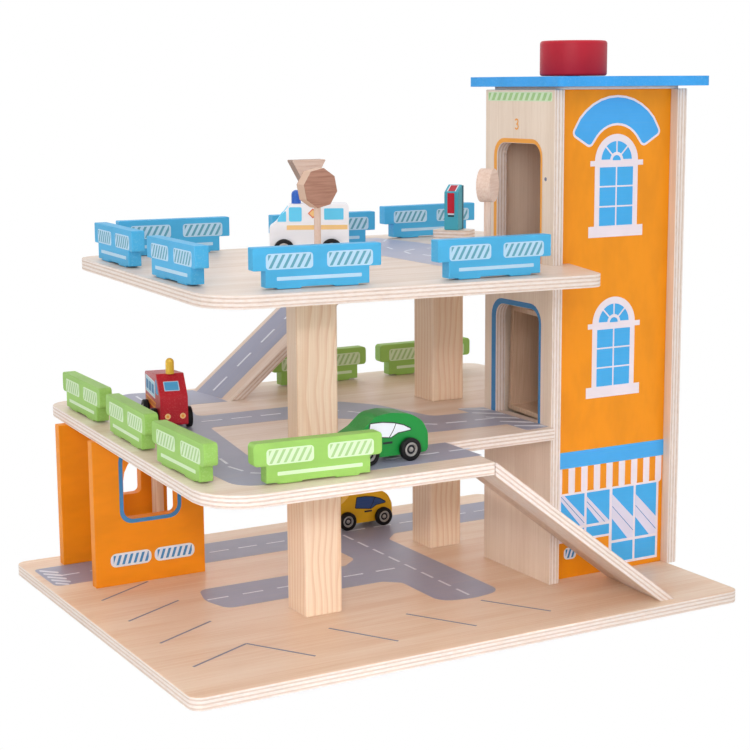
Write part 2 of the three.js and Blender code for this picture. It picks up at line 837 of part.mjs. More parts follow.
function octagonCorners() {
  const radius = octagonWidth / 2 / Math.cos(Math.PI / 8);
  const corners = [];
  for (let side = 0; side < 8; side += 1) {
    const angle = (Math.PI / 4) * (side + 1 / 2) + octagonRollAngle;
    corners.push([radius * Math.cos(angle), radius * Math.sin(angle)]);
  }
  return corners;
}

function triangleCorners() {
  const rise = (triangleWidth * Math.sqrt(3)) / 2;
  const top = rise / 3;
  return [
    [0, top - rise, triangleRadius],
    [triangleWidth / 2, top, triangleRadius],
    [-triangleWidth / 2, top, triangleRadius],
  ];
}

function discCorners() {
  const corners = [];
  for (let side = 0; side < 28; side += 1) {
    const angle = (2 * Math.PI * side) / 28;
    corners.push([(discDiameter / 2) * Math.cos(angle), (discDiameter / 2) * Math.sin(angle)]);
  }
  return corners;
}

function addSign(name, corners, centreHeight, shares, turn) {
  const [x, y] = place(shares);
  const lowest = Math.min(...roundedOutline(corners).map((point) => point.y));
  const group = new THREE.Group();
  group.name = `${name}_turn`;
  group.position.set(x, y, upperDeckTop);
  group.rotation.z = turn;
  garage.add(group);
  const board = boardAlongX(corners, -signThickness / 2, signThickness);
  board.translate(0, 0, centreHeight);
  const poleTop = centreHeight + lowest + signBoardSocket;
  const socketDiameter = signPoleDiameter + signSocketClearance;
  const socketLow = centreHeight + lowest - cutOverrun;
  const socket = standingBar(0, 0, socketLow, socketDiameter, poleTop - socketLow, 16);
  addPiece(group, `${name}_board`, drilled(board, [socket]), beech);
  const poleLow = seatClearance - signSocketDepth;
  const pole = standingBar(0, 0, poleLow, signPoleDiameter, poleTop - poleLow, 16);
  addPiece(group, `${name}_pole`, pole, beech);
}

function addPump() {
  const [x, y] = place(pumpShares);
  const group = new THREE.Group();
  group.name = "fuel_pump_place";
  group.position.set(x, y, upperDeckTop);
  group.rotation.z = pumpYawAngle;
  garage.add(group);
  const foot = rectangle(
    -pumpFootWidth / 2, -pumpFootDepth / 2, pumpFootWidth / 2, pumpFootDepth / 2, pumpFootRadius,
  );
  addPiece(group, "fuel_pump_foot", flatBoard(foot, 0, pumpFootHeight), oak);

  const front = -pumpFootDepth / 2 + pumpBodySetback;
  const back = front + pumpBodyDepth;
  const low = pumpFootHeight;
  const high = low + pumpBodyHeight;
  const side = [
    [front, low],
    [back, low],
    [back, high],
    [front, high - pumpTopDrop],
  ];
  const body = boardAlongY(side, -pumpBodyWidth / 2, pumpBodyWidth);
  addPiece(group, "fuel_pump_body", geometryFrom(solidFrom(body)), pumpTeal);
  const board = boxBoard(
    -pumpBoardWidth / 2, back, low, pumpBoardWidth, pumpBoardThickness, pumpBoardHeight,
  );
  addPiece(group, "fuel_pump_back_board", board, pumpDark);
  const displayHigh = high - pumpTopDrop - pumpDisplayTopInset;
  const display = boxBoard(
    -pumpDisplayWidth / 2,
    front - pumpDisplayThickness,
    displayHigh - pumpDisplayHeight,
    pumpDisplayWidth,
    pumpDisplayThickness,
    pumpDisplayHeight,
  );
  addPiece(group, "fuel_pump_display", display, knobRed);
}

// One axle with its two wheels, turned about the vehicle's width.
function wheelset() {
  const half = vehicleWidth / 2 + wheelGap + wheelWidth;
  const inner = half - wheelWidth;
  const radius = wheelDiameter / 2;
  const rim = wheelRimDiameter / 2;
  const right = [
    [wheelAxleDiameter / 2, inner],
    [radius - wheelEdge, inner],
    [radius, inner + wheelEdge],
    [radius, half - wheelEdge],
    [radius - wheelEdge, half],
    [rim, half],
    [rim, half - wheelRimDepth],
    [0, half - wheelRimDepth],
  ];
  const left = right.map(([reach, level]) => [reach, -level]).reverse();
  const points = [...left, ...right].map(([reach, level]) => new THREE.Vector2(reach, level));
  const geometry = new THREE.LatheGeometry(points, wheelSteps);
  return geometryFrom(solidFrom(geometry));
}

// Profile corners are [share of length, share of height above the floor, share of height as radius].
function vehicleBody(profileShares, length, height, insets) {
  const rise = height - vehicleFloor;
  const corners = profileShares.map(([along, up, round]) => [
    along * length,
    vehicleFloor + up * rise,
    round * rise,
  ]);
  const body = boardAlongX(corners, -vehicleWidth / 2, vehicleWidth);
  const reach = vehicleWidth + 2 * cutOverrun;
  const boreRadius = wheelAxleDiameter / 2 + wheelAxleClearance;
  const bores = insets.map((along) => {
    const bore = new THREE.CylinderGeometry(boreRadius, boreRadius, reach, 16);
    bore.translate(along, 0, wheelDiameter / 2);
    return bore;
  });
  return drilled(body, bores);
}

function addVehicle(name, settings) {
  const { shares, level, turn, profile, length, height, frontInset, rearInset, look } = settings;
  const [x, y] = place(shares);
  const group = new THREE.Group();
  group.name = `${name}_place`;
  group.position.set(x, y, level + seatClearance);
  group.rotation.z = turn;
  garage.add(group);
  const insets = [frontInset, length - rearInset];
  addPiece(group, `${name}_body`, vehicleBody(profile, length, height, insets), look);
  const ends = ["front", "rear"];
  for (let end = 0; end < ends.length; end += 1) {
    const wheels = addPiece(group, `${name}_${ends[end]}_wheels`, wheelset(), tyreBlack);
    wheels.position.set(insets[end], 0, wheelDiameter / 2);
  }
  return group;
}

function beacon(diameter, height) {
  const radius = diameter / 2;
  const shoulder = height - radius;
  const profile = [[0, 0], [radius, 0]];
  for (let step = 0; step <= arcSteps; step += 1) {
    const angle = (Math.PI / 2) * (step / arcSteps);
    const reach = step === arcSteps ? 0 : radius * Math.cos(angle);
    profile.push([reach, shoulder + radius * Math.sin(angle)]);
  }
  return turnedSolid(profile, 16);
}

const carProfileShares = [
  [0, 0, 0.06],
  [1, 0, 0.12],
  [1, 0.46, 0.4],
  [0.93, 0.74, 0.4],
  [0.78, 0.93, 0.6],
  [0.55, 1, 0.6],
  [0.36, 0.96, 0.4],
  [0.2, 0.67, 0.3],
  [0, 0.45, 0.14],
];
const ambulanceProfileShares = [
  [0, 0, 0.06],
  [1, 0, 0.06],
  [1, 1, 0.08],
  [0.26, 1, 0.06],
  [0.08, 0.63, 0.05],
  [0, 0.54, 0.08],
];
const truckProfileShares = [
  [0, 0, 0.06],
  [1, 0, 0.06],
  [1, 0.86, 0.08],
  [0.23, 1, 0.05],
  [0, 0.59, 0.05],
];

function addVehicles() {
  const ambulance = addVehicle("ambulance", {
    shares: ambulanceShares,
    level: upperDeckTop,
    turn: ambulanceYawAngle,
    profile: ambulanceProfileShares,
    length: ambulanceLength,
    height: ambulanceHeight,
    frontInset: ambulanceFrontWheelInset,
    rearInset: ambulanceRearWheelInset,
    look: vanWhite,
  });
  const light = addPiece(
    ambulance, "ambulance_light", beacon(ambulanceBeaconDiameter, beaconHeight), lampBlue,
  );
  light.position.set(ambulanceBeaconInset, 0, ambulanceHeight);
  const car = {
    turn: 0,
    profile: carProfileShares,
    length: carLength,
    height: carHeight,
    frontInset: carFrontWheelInset,
    rearInset: carRearWheelInset,
  };
  addVehicle("green_car", { ...car, shares: greenCarShares, level: middleDeckTop, look: carGreen });
  const shortCar = {
    ...car,
    length: shortCarLength,
    frontInset: shortCarFrontWheelInset,
    rearInset: shortCarRearWheelInset,
  };
  addVehicle("yellow_car", { ...shortCar, shares: yellowCarShares, level: baseThickness, look: carYellow });
  const truck = addVehicle("fire_truck", {
    shares: truckShares,
    level: middleDeckTop,
    turn: truckYawAngle,
    profile: truckProfileShares,
    length: truckLength,
    height: truckHeight,
    frontInset: truckFrontWheelInset,
    rearInset: truckRearWheelInset,
    look: knobRed,
  });
  const peg = addPiece(truck, "fire_truck_light", beacon(truckBeaconDiameter, truckBeaconHeight), lampYellow);
  peg.position.set(truckBeaconInset, 0, truckHeight);
}

addBoards();
addUpperDeck();
addPosts();
addWalls();
addLowerRamp();
addUpperRamp();
addTowerPanels();
addRoof();
addLiftDrive();
addCabinAndCord();
addBarriers(blueBarrierRows, upperDeckTop, barrierRadius, barrierBlue);
addBarriers(greenBarrierRows, middleDeckTop, greenBarrierRadius, barrierGreen);
addSign("octagon_sign", octagonCorners(), octagonCentreHeight, octagonShares, octagonYawAngle);
addSign("triangle_sign", triangleCorners(), triangleCentreHeight, triangleShares, triangleYawAngle);
addSign("disc_sign", discCorners(), discCentreHeight, discShares, discYawAngle);
addPump();
addVehicles();

garage.position.set(-baseWidth / 2, -baseDepth / 2, 0);
garage.name = "toy_parking_garage";

export default garage;
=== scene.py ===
import functools
import math

import bmesh
import bpy
from mathutils import Matrix, Vector


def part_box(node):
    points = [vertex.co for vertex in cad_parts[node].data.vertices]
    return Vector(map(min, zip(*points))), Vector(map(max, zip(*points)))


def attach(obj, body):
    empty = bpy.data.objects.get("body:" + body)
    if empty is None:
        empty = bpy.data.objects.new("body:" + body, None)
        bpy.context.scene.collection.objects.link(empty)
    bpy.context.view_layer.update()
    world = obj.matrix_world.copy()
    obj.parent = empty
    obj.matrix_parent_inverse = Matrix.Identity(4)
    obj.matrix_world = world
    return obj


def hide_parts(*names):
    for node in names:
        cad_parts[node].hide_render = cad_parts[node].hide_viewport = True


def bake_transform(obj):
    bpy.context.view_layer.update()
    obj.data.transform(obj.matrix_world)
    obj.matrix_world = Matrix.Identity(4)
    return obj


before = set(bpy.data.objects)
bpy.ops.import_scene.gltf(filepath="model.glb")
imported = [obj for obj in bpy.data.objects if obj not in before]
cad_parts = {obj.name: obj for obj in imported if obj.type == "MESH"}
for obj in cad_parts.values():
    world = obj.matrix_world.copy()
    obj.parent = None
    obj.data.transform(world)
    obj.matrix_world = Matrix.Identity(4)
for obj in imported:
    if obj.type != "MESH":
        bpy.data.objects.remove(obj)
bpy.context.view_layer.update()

bl_info = {
    "name": "Toy Parking Garage Finish",
    "version": (1, 0, 0),
    "blender": (4, 2, 0),
    "location": "3D View > Sidebar > Garage",
    "description": "Builds the looks of a wooden toy parking garage round its CAD pieces",
    "category": "Object",
}

MM = 0.001
BASE_WIDTH = 450.0
BASE_DEPTH = 357.0
MIDDLE_TOP = 132.4
UPPER_TOP = 254.6
BASE_TOP = 9.0
TOWER_LEFT = 333.5
PANEL_FACE = 92.6
BODY = "garage"


BARRIER_THICKNESS = 10.0
LOWEST_FILM = 0.03
DASH_FILM = 0.24
SMALLEST_BAR = 0.5
SEAT_CLEARANCE = 0.3
LOWER_RAMP_RUN = 160.5
UPPER_RAMP_RUN = 165.0
UPPER_RAMP_YAW = 0.124
VIEW_YAW = math.radians(29.6)
VIEW_PITCH = math.radians(9.87)
VIEW_ROLL = math.radians(-0.38)
UP = Vector((0, 0, 1))
UPRIGHT = {"along": (0, 0, 1), "through": (0, 1, 0)}


# Materials

def hex_colour(text):
    """Linear RGBA from an sRGB hex text."""
    channels = [int(text[i:i + 2], 16) / 255 for i in (0, 2, 4)]
    linear = [c / 12.92 if c <= 0.04045 else ((c + 0.055) / 1.055) ** 2.4 for c in channels]
    return (*linear, 1.0)


def shade(text, share):
    """The colour of a hex text, darkened to a share of its light."""
    return (*(channel * share for channel in hex_colour(text)[:3]), 1.0)


def feed(tree, socket, value):
    """Links a socket to another node's output, or sets its value; a text is read as a hex colour."""
    if isinstance(value, bpy.types.NodeSocket):
        tree.links.new(value, socket)
    else:
        socket.default_value = hex_colour(value) if isinstance(value, str) else value


def add_node(tree, kind, inputs=None, **settings):
    node = tree.nodes.new(kind)
    for key, value in settings.items():
        setattr(node, key, value)
    for key, value in (inputs or {}).items():
        feed(tree, node.inputs[key], value)
    return node


def math_node(tree, operation, first, second=0.0, third=0.0):
    return add_node(tree, "ShaderNodeMath", {0: first, 1: second, 2: third}, operation=operation).outputs[0]


def mix_colour(tree, factor, first, second):
    return add_node(tree, "ShaderNodeMix", {0: factor, 6: first, 7: second}, data_type="RGBA").outputs[2]


def grain_noise(tree, place, stretch, detail=3.0, roughness=0.55):
    """Noise on the piece's own place in millimetres, with a scale per millimetre for each axis."""
    scaled = add_node(tree, "ShaderNodeVectorMath", {0: place, 1: stretch}, operation="MULTIPLY").outputs[0]
    inputs = {"Vector": scaled, "Scale": 1.0, "Detail": detail, "Roughness": roughness}
    return add_node(tree, "ShaderNodeTexNoise", inputs, noise_dimensions="3D").outputs["Fac"]


def smooth_range(tree, value, low, high, to_low=0.0, to_high=1.0):
    inputs = {"Value": value, 1: low, 2: high, 3: to_low, 4: to_high}
    return add_node(tree, "ShaderNodeMapRange", inputs, interpolation_type="SMOOTHSTEP").outputs[0]


def split(tree, vector):
    return add_node(tree, "ShaderNodeSeparateXYZ", {0: vector}).outputs


def own_place(tree):
    """A point's own place on its piece, and how far it lies inside the piece's two faces, in millimetres."""
    place = add_node(tree, "ShaderNodeAttribute", attribute_name="place").outputs["Vector"]
    half = add_node(tree, "ShaderNodeAttribute", attribute_name="half_thickness").outputs["Fac"]
    level = math_node(tree, "ABSOLUTE", split(tree, place)["Z"])
    return place, math_node(tree, "SUBTRACT", half, level)


def ray_is(tree, *kinds):
    """1 for rays of the named kinds, and 0 for others."""
    path = add_node(tree, "ShaderNodeLightPath")
    seen = 0.0
    for kind in kinds:
        seen = math_node(tree, "MAXIMUM", seen, path.outputs[f"Is {kind} Ray"])
    return seen


def finish(tree, colour, roughness, height, strength, distance, coat=0.0, specular=0.5, metallic=0.0):
    """Sets the material's shader, with a bump of the height by the strength and the distance."""
    bump = add_node(tree, "ShaderNodeBump", {"Strength": strength, "Distance": distance, "Height": height})
    values = {"Base Color": colour, "Roughness": roughness, "Normal": bump.outputs[0], "IOR": 1.47,
              "Coat Weight": coat, "Coat Roughness": 0.25, "Specular IOR Level": specular,
              "Metallic": metallic}
    for name, value in values.items():
        feed(tree, tree.nodes["Principled BSDF"].inputs[name], value)


def birch_plywood(tree, light="F0DDD0", dark="DEC2AB", edge_light="ECE2DD", edge_dark="C9B0A0"):
    """Rotary-cut birch face with a soft flame figure, and light and dark layers along its cut edges."""
    place, under = own_place(tree)
    figure = grain_noise(tree, place, (0.006, 0.05, 0.05), 2.0)
    streaks = grain_noise(tree, place, (0.012, 0.7, 0.7), 4.0, 0.6)
    pores = grain_noise(tree, place, (0.09, 2.6, 2.6), 2.0)
    tone = math_node(tree, "MULTIPLY_ADD", streaks, 0.55, math_node(tree, "MULTIPLY", figure, 0.6))
    face = mix_colour(tree, smooth_range(tree, tone, 0.4, 0.78), light, dark)
    face = mix_colour(tree, smooth_range(tree, pores, 0.6, 0.75, 0.0, 0.3), face, "CBA583")
    wander = grain_noise(tree, place, (0.03, 0.03, 0.2), 2.0)
    level = math_node(tree, "MULTIPLY_ADD", wander, 0.5, split(tree, place)["Z"])
    layer = smooth_range(tree, math_node(tree, "PINGPONG", level, 1.4), 0.35, 0.75)
    fibre = grain_noise(tree, place, (0.25, 0.25, 1.6), 3.0)
    pale = mix_colour(tree, smooth_range(tree, fibre, 0.35, 0.7), edge_light, "E6D5C9")
    deep = mix_colour(tree, smooth_range(tree, fibre, 0.3, 0.65), edge_dark, "DCC5B4")
    mask = smooth_range(tree, under, 0.12, 0.3)
    colour = mix_colour(tree, mask, face, mix_colour(tree, layer, deep, pale))
    height = math_node(tree, "MULTIPLY_ADD", pores, 0.6, streaks)
    finish(tree, colour, smooth_range(tree, mask, 0.0, 1.0, 0.5, 0.72), height, 0.25, 0.00012, 0.35)


def pine_wood(tree):
    """Pine with growth rings that show as long bands and arches on the post's faces."""
    place, under = own_place(tree)
    bend = grain_noise(tree, place, (0.008, 0.012, 0.012), 2.0)
    across = math_node(tree, "MULTIPLY_ADD", bend, 34.0, split(tree, place)["Y"])
    depth = math_node(tree, "ADD", split(tree, place)["Z"], 26.0)
    squares = math_node(tree, "MULTIPLY_ADD", across, across, math_node(tree, "MULTIPLY", depth, depth))
    distance = math_node(tree, "SQRT", squares)
    ring = math_node(tree, "FRACT", math_node(tree, "MULTIPLY", distance, 0.24))
    late = smooth_range(tree, ring, 0.45, 0.97)
    fibre = grain_noise(tree, place, (0.015, 1.4, 1.4), 4.0)
    colour = mix_colour(tree, math_node(tree, "MULTIPLY", late, 0.46), "F2DAC0", "D9A87C")
    colour = mix_colour(tree, smooth_range(tree, fibre, 0.4, 0.7, 0.0, 0.3), colour, "CDA07C")
    finish(tree, colour, 0.52, math_node(tree, "MULTIPLY_ADD", late, 0.6, fibre), 0.3, 0.00015, 0.12)


def beech_wood(tree, light="E2C0A5", dark="CBA283", edge=None):
    """Fine beech with short dark flecks and no lacquer, its cut edges in their own tone if one is given: bare
    edge wood on some boards, painted shade on others.
    """
    place, under = own_place(tree)
    streaks = grain_noise(tree, place, (0.05, 0.9, 0.9), 4.0)
    flecks = grain_noise(tree, place, (0.6, 3.5, 3.5), 2.0)
    colour = mix_colour(tree, smooth_range(tree, streaks, 0.32, 0.7), light, dark)
    colour = mix_colour(tree, smooth_range(tree, flecks, 0.62, 0.76, 0.0, 0.35), colour, "AC8068")
    # On the pale triangle board this edge tone is painted shade; on the steamed beech octagon it is bare edge
    # wood.
    if edge:
        colour = mix_colour(tree, smooth_range(tree, under, 0.3, 0.6), colour, edge)
    finish(tree, colour, 0.66, math_node(tree, "MULTIPLY_ADD", flecks, 0.5, streaks), 0.35, 0.00012)


def brushed_paint(tree, text, worn, roughness=0.45, coat=0.0):
    """Opaque toy paint over wood: faint grain under the film, small tone drift and lighter rubbed edges."""
    place, under = own_place(tree)
    drift = grain_noise(tree, place, (0.02, 0.05, 0.05), 3.0)
    grain = grain_noise(tree, place, (0.03, 0.9, 0.9), 3.0)
    specks = grain_noise(tree, place, (0.9, 0.9, 0.9), 2.0)
    deep = shade(text, 0.9)
    colour = mix_colour(tree, smooth_range(tree, drift, 0.35, 0.7), text, deep)
    colour = mix_colour(tree, smooth_range(tree, grain, 0.5, 0.8, 0.0, 0.18), colour, deep)
    rub = math_node(tree, "MULTIPLY", smooth_range(tree, under, 0.1, 0.35),
                    smooth_range(tree, specks, 0.5, 0.72, 0.0, 0.22))
    rough = smooth_range(tree, specks, 0.3, 0.7, roughness - 0.04, roughness + 0.06)
    finish(tree, mix_colour(tree, rub, colour, worn), rough, grain, 0.2, 0.0001, coat, 0.3)


def printed_ink(tree, text, veil, roughness=0.5, sheen=0.3):
    """Thin printed ink: matt, a little uneven, with the wood's streaks showing by the veil's share."""
    place, under = own_place(tree)
    streaks = grain_noise(tree, place, (0.012, 0.7, 0.7), 4.0, 0.6)
    cloud = grain_noise(tree, place, (0.05, 0.05, 0.05), 3.0)
    colour = mix_colour(tree, smooth_range(tree, streaks, 0.42, 0.72, 0.0, veil), text, "D9BE98")
    colour = mix_colour(tree, smooth_range(tree, cloud, 0.35, 0.7, 0.0, 0.5), colour, shade(text, 0.92))
    finish(tree, colour, roughness, streaks, 0.15, 0.00008, specular=sheen)


def moulded_tyre(tree):
    """Matt black moulded plastic with a fine dusty speckle."""
    place, under = own_place(tree)
    specks = grain_noise(tree, place, (1.6, 1.6, 1.6), 3.0)
    colour = mix_colour(tree, smooth_range(tree, specks, 0.45, 0.75), "0E0D0F", "1F1D20")
    rough = smooth_range(tree, specks, 0.3, 0.7, 0.38, 0.52)
    finish(tree, colour, rough, specks, 0.2, 0.00008, specular=0.25)


def satin_metal(tree):
    """Plated wheel hub: soft metallic sheen with turned rings."""
    place, under = own_place(tree)
    specks = grain_noise(tree, place, (1.2, 1.2, 4.0), 3.0)
    colour = mix_colour(tree, smooth_range(tree, specks, 0.4, 0.7), "B9B6B4", "97928E")
    rough = smooth_range(tree, specks, 0.3, 0.7, 0.3, 0.42)
    finish(tree, colour, rough, specks, 0.15, 0.00005, metallic=0.85)


def braided_cord(tree):
    """Off-white cord with a fine crossing braid."""
    place, under = own_place(tree)
    x, y = split(tree, place)["X"], split(tree, place)["Y"]
    strands = [math_node(tree, way, x, y) for way in ("ADD", "SUBTRACT")]
    braid = math_node(tree, "MAXIMUM", *(math_node(tree, "PINGPONG", strand, 0.35) for strand in strands))
    colour = mix_colour(tree, smooth_range(tree, braid, 0.12, 0.34), "B9B1A2", "EFEADF")
    finish(tree, colour, 0.85, braid, 0.6, 0.0003)


def studio_card(tree):
    """Even matt studio surface that shows white to the camera and stays soft grey-white to the light."""
    shader = tree.nodes["Principled BSDF"]
    where = add_node(tree, "ShaderNodeTexCoord").outputs["Object"]
    cloud = add_node(tree, "ShaderNodeTexNoise", {"Vector": where, "Scale": 0.7}).outputs["Fac"]
    tint = mix_colour(tree, smooth_range(tree, cloud, 0.3, 0.7, 0.96, 1.0), "E9E9E9", "FFFFFF")
    for name, value in (("Base Color", tint), ("Roughness", 0.9), ("Specular IOR Level", 0.1)):
        feed(tree, shader.inputs[name], value)
    glow = add_node(tree, "ShaderNodeEmission", {"Color": "FFFFFF", "Strength": 1.0})
    seen = ray_is(tree, "Camera", "Transmission")
    both = add_node(tree, "ShaderNodeMixShader", {0: seen, 1: shader.outputs[0], 2: glow.outputs[0]})
    feed(tree, tree.nodes["Material Output"].inputs["Surface"], both.outputs[0])


FINISHES = {
    "ply": (birch_plywood, "birch plywood"),
    "base_ply": (birch_plywood, "birch plywood base", "F2DAC2", "E5C09F", "ECE3DD", "CDBAAC"),
    "tower_ply": (birch_plywood, "birch plywood tower", "EFDCC9", "E1CAB4"),
    "cabin_ply": (birch_plywood, "birch plywood cabin", "D8BAA0", "C2A084"),
    "pine": (pine_wood, "sanded pine"),
    "beech": (beech_wood, "plain beech"),
    "dowel": (beech_wood, "pale beech dowel", "EACFBF", "DDBBA8"),
    # The pale board's darker edge tone is painted shade: the triangle sign's cut edges darkened as if in
    # shadow.
    "pale_board_edge_shade": (beech_wood, "pale beech board with painted edge shade", "EACFBF", "DDBBA8", "A98F82"),
    "dark_beech": (beech_wood, "steamed beech", "BE8D78", "A5745F", "DDBBA4"),
    "orange": (brushed_paint, "orange paint", "F4960C", "F7B95E"),
    "wall_orange": (brushed_paint, "deep orange paint", "F09012", "F5B464"),
    "sky": (brushed_paint, "sky blue paint", "3AA6F2", "8CCBF5"),
    "barrier_blue": (brushed_paint, "barrier blue paint", "4DB4E6", "98D3EE"),
    "barrier_green": (brushed_paint, "barrier green paint", "9AC964", "C2DFA0"),
    "knob_red": (brushed_paint, "deep red paint", "C41C30", "CE4C5C", 0.36),
    "teal": (brushed_paint, "teal paint", "46A9BE", "86C9D8"),
    # The back board's darker teal is a shaded copy of the pump body's teal: painted shade.
    "shaded_teal": (brushed_paint, "teal paint darkened as painted shade", "2C6A7E", "6FA0AE"),
    "van_white": (brushed_paint, "white gloss paint", "FAF9FE", "EDE6DE", 0.4, 0.1),
    "truck_red": (brushed_paint, "fire red paint", "BC2230", "D96A6A", 0.38, 0.1),
    "car_green": (brushed_paint, "leaf green paint", "178C3A", "6CBB7C", 0.36, 0.12),
    "car_yellow": (brushed_paint, "taxi yellow paint", "EDB81C", "F6DC86", 0.36, 0.12),
    "lamp_blue": (brushed_paint, "lamp blue paint", "2F66C8", "86A8E0", 0.34, 0.12),
    "lamp_yellow": (brushed_paint, "lamp yellow paint", "F2C544", "F8E19A", 0.38, 0.1),
    "road": (printed_ink, "road grey ink", "9A9DB6", 0.15, 0.38, 0.6),
    "pale_road": (printed_ink, "pale road grey ink", "ADACC2", 0.2, 0.36, 0.7),
    "white_ink": (printed_ink, "white ink", "E6E9F2", 0.05),
    "window_blue": (printed_ink, "window blue ink", "44AFEE", 0.03),
    "window_white": (printed_ink, "window frame white ink", "F0E4EC", 0.03),
    "lilac_ink": (printed_ink, "pale lilac ink", "E2DCEF", 0.03),
    "pale_blue_ink": (printed_ink, "pale blue ink", "BCDDF3", 0.04),
    "teal_ink": (printed_ink, "grey teal ink", "62A5BC", 0.04),
    "green_ink": (printed_ink, "sage green ink", "A6CC8C", 0.08),
    "pale_green_ink": (printed_ink, "pale green ink", "D3E8C4", 0.06),
    "sky_ink": (printed_ink, "sky blue ink", "47ACF0", 0.03),
    "slate_blue_ink": (printed_ink, "slate blue ink", "3F86BE", 0.04),
    "orange_ink": (printed_ink, "orange ink", "F2A544", 0.06),
    "pale_orange_ink": (printed_ink, "pale orange ink", "F9CF8C", 0.03),
    "coral_ink": (printed_ink, "coral ink", "E4745A", 0.03),
    "cyan_ink": (printed_ink, "cyan window ink", "66D2FA", 0.02),
    "dark_ink": (printed_ink, "black ink", "22252C", 0.02),
    "red_ink": (printed_ink, "red ink", "B6263A", 0.02),
    "line_grey": (printed_ink, "parking line grey ink", "7C8094", 0.1),
    "glass_blue_ink": (printed_ink, "glass blue ink", "4FA5DA", 0.02),
    "navy_ink": (printed_ink, "navy ink", "2B4E8C", 0.02),
    "tyre": (moulded_tyre, "black tyre plastic"),
    "hub": (satin_metal, "dull plated steel"),
    "cord": (braided_cord, "braided cotton cord"),
    "white_card": (studio_card, "white studio card"),
}


@functools.cache
def look(key):
    """The material of a finish, made once."""
    maker, name, *values = FINISHES[key]
    material = bpy.data.materials.new(name)
    material.use_nodes = True
    maker(material.node_tree, *values)
    return material


# Geometry

def row(x, y, z):
    """A design point in millimetres from the base's front left corner, as a row-frame vector in metres."""
    return Vector(((x - BASE_WIDTH / 2) * MM, (y - BASE_DEPTH / 2) * MM, z * MM))


def heading(turn):
    return Vector((math.cos(turn), math.sin(turn), 0))


def arc(centre, radius, first, last, steps):
    """Points on a circle from one angle to another, both in degrees."""
    turns = [math.radians(first + (last - first) * step / steps) for step in range(steps + 1)]
    return [(centre[0] + radius * math.cos(turn), centre[1] + radius * math.sin(turn)) for turn in turns]


class Plane:
    """A place to draw on: an origin and three unit directions in the row frame."""

    def __init__(self, origin, right, up):
        self.origin = Vector(origin)
        self.right = Vector(right).normalized()
        self.up = Vector(up).normalized()
        self.out = self.right.cross(self.up)

    def at(self, u, v, level=0.0):
        return self.origin + (self.right * u + self.up * v + self.out * level) * MM


def store_places(mesh, places, half=0.0):
    """Stores each vertex's own place in millimetres, and half the thickness of a piece with cut edges."""
    mesh.attributes.new("place", "FLOAT_VECTOR", "POINT")
    mesh.attributes.new("half_thickness", "FLOAT", "POINT")
    mesh.attributes["place"].data.foreach_set("vector", [value for place in places for value in place])
    mesh.attributes["half_thickness"].data.foreach_set("value", [half] * len(places))


def write_place(mesh, origin, along, across, through, half=0.0):
    spots = [(vertex.co - origin) / MM for vertex in mesh.vertices]
    store_places(mesh, [(spot.dot(along), spot.dot(across), spot.dot(through)) for spot in spots], half)


def mesh_of(shape, name):
    mesh = bpy.data.meshes.new(name)
    shape.to_mesh(mesh)
    shape.free()
    return mesh


def place_object(name, data):
    item = bpy.data.objects.new(name, data)
    bpy.context.scene.collection.objects.link(item)
    return item


def new_object(name, mesh, body, materials):
    for key in materials:
        mesh.materials.append(look(key))
    item = place_object(name, mesh)
    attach(item, body)
    return item


def refined(node, body, key, edge, along=(1, 0, 0), through=(0, 0, 1), segments=2, slot=None, cut_edges=True):
    """A copy of a CAD piece with its flat faces joined and its sharp edges rounded."""
    shape = bmesh.new()
    shape.from_mesh(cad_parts[node].data)
    bmesh.ops.remove_doubles(shape, verts=shape.verts, dist=1e-6)
    bmesh.ops.dissolve_limit(shape, angle_limit=math.radians(0.6), verts=shape.verts, edges=shape.edges)
    sharp = [e for e in shape.edges if len(e.link_faces) == 2 and e.calc_face_angle(0) > math.radians(32)]
    bmesh.ops.bevel(shape, geom=sharp, offset=edge * MM, segments=segments, profile=0.5, affect="EDGES",
                    clamp_overlap=True, loop_slide=False)
    bmesh.ops.recalc_face_normals(shape, faces=shape.faces)
    mesh = mesh_of(shape, node + "_finish")
    mesh.polygons.foreach_set("use_smooth", [False] * len(mesh.polygons))
    low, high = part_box(node)
    origin = (Vector(low) + Vector(high)) / 2
    along = Vector(along).normalized()
    through = Vector(through).normalized()
    across = through.cross(along).normalized()
    depths = [(vertex.co - origin).dot(through) for vertex in mesh.vertices]
    near, far = min(depths), max(depths)
    origin += through * ((near + far) / 2)
    write_place(mesh, origin, along, across, through, (far - near) / 2 / MM if cut_edges else 0.0)
    item = new_object(node + "_finish", mesh, body, [key])
    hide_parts(node)
    return item


def rounded(points, steps=5):
    """Corner list (u, v) or (u, v, radius) to an outline with rounded corners."""
    result = []
    count = len(points)
    for index, point in enumerate(points):
        radius = point[2] if len(point) > 2 else 0.0
        corner = Vector(point[:2])
        if radius <= 0:
            result.append(corner)
            continue
        before = Vector(points[index - 1][:2]) - corner
        after = Vector(points[(index + 1) % count][:2]) - corner
        room = min(before.length, after.length) / 2
        before.normalize()
        after.normalize()
        half = math.acos(max(-1.0, min(1.0, before.dot(after)))) / 2
        reach = min(radius / math.tan(half), room)
        used = reach * math.tan(half)
        centre = corner + (before + after).normalized() * (used / math.sin(half))
        start = corner + before * reach - centre
        end = corner + after * reach - centre
        first = math.atan2(start.y, start.x)
        turn = math.atan2(start.x * end.y - start.y * end.x, start.dot(end))
        for step in range(steps + 1):
            angle = first + turn * step / steps
            result.append(centre + Vector((math.cos(angle), math.sin(angle))) * used)
    return result


def signed_area(points):
    pairs = zip(points, [*points[1:], points[0]])
    return sum(point[0] * after[1] - point[1] * after[0] for point, after in pairs) / 2


def box_points(left, low, right, high, radius=0.6, steps=5):
    corners = [(left, low, radius), (right, low, radius), (right, high, radius), (left, high, radius)]
    return rounded(corners, steps)


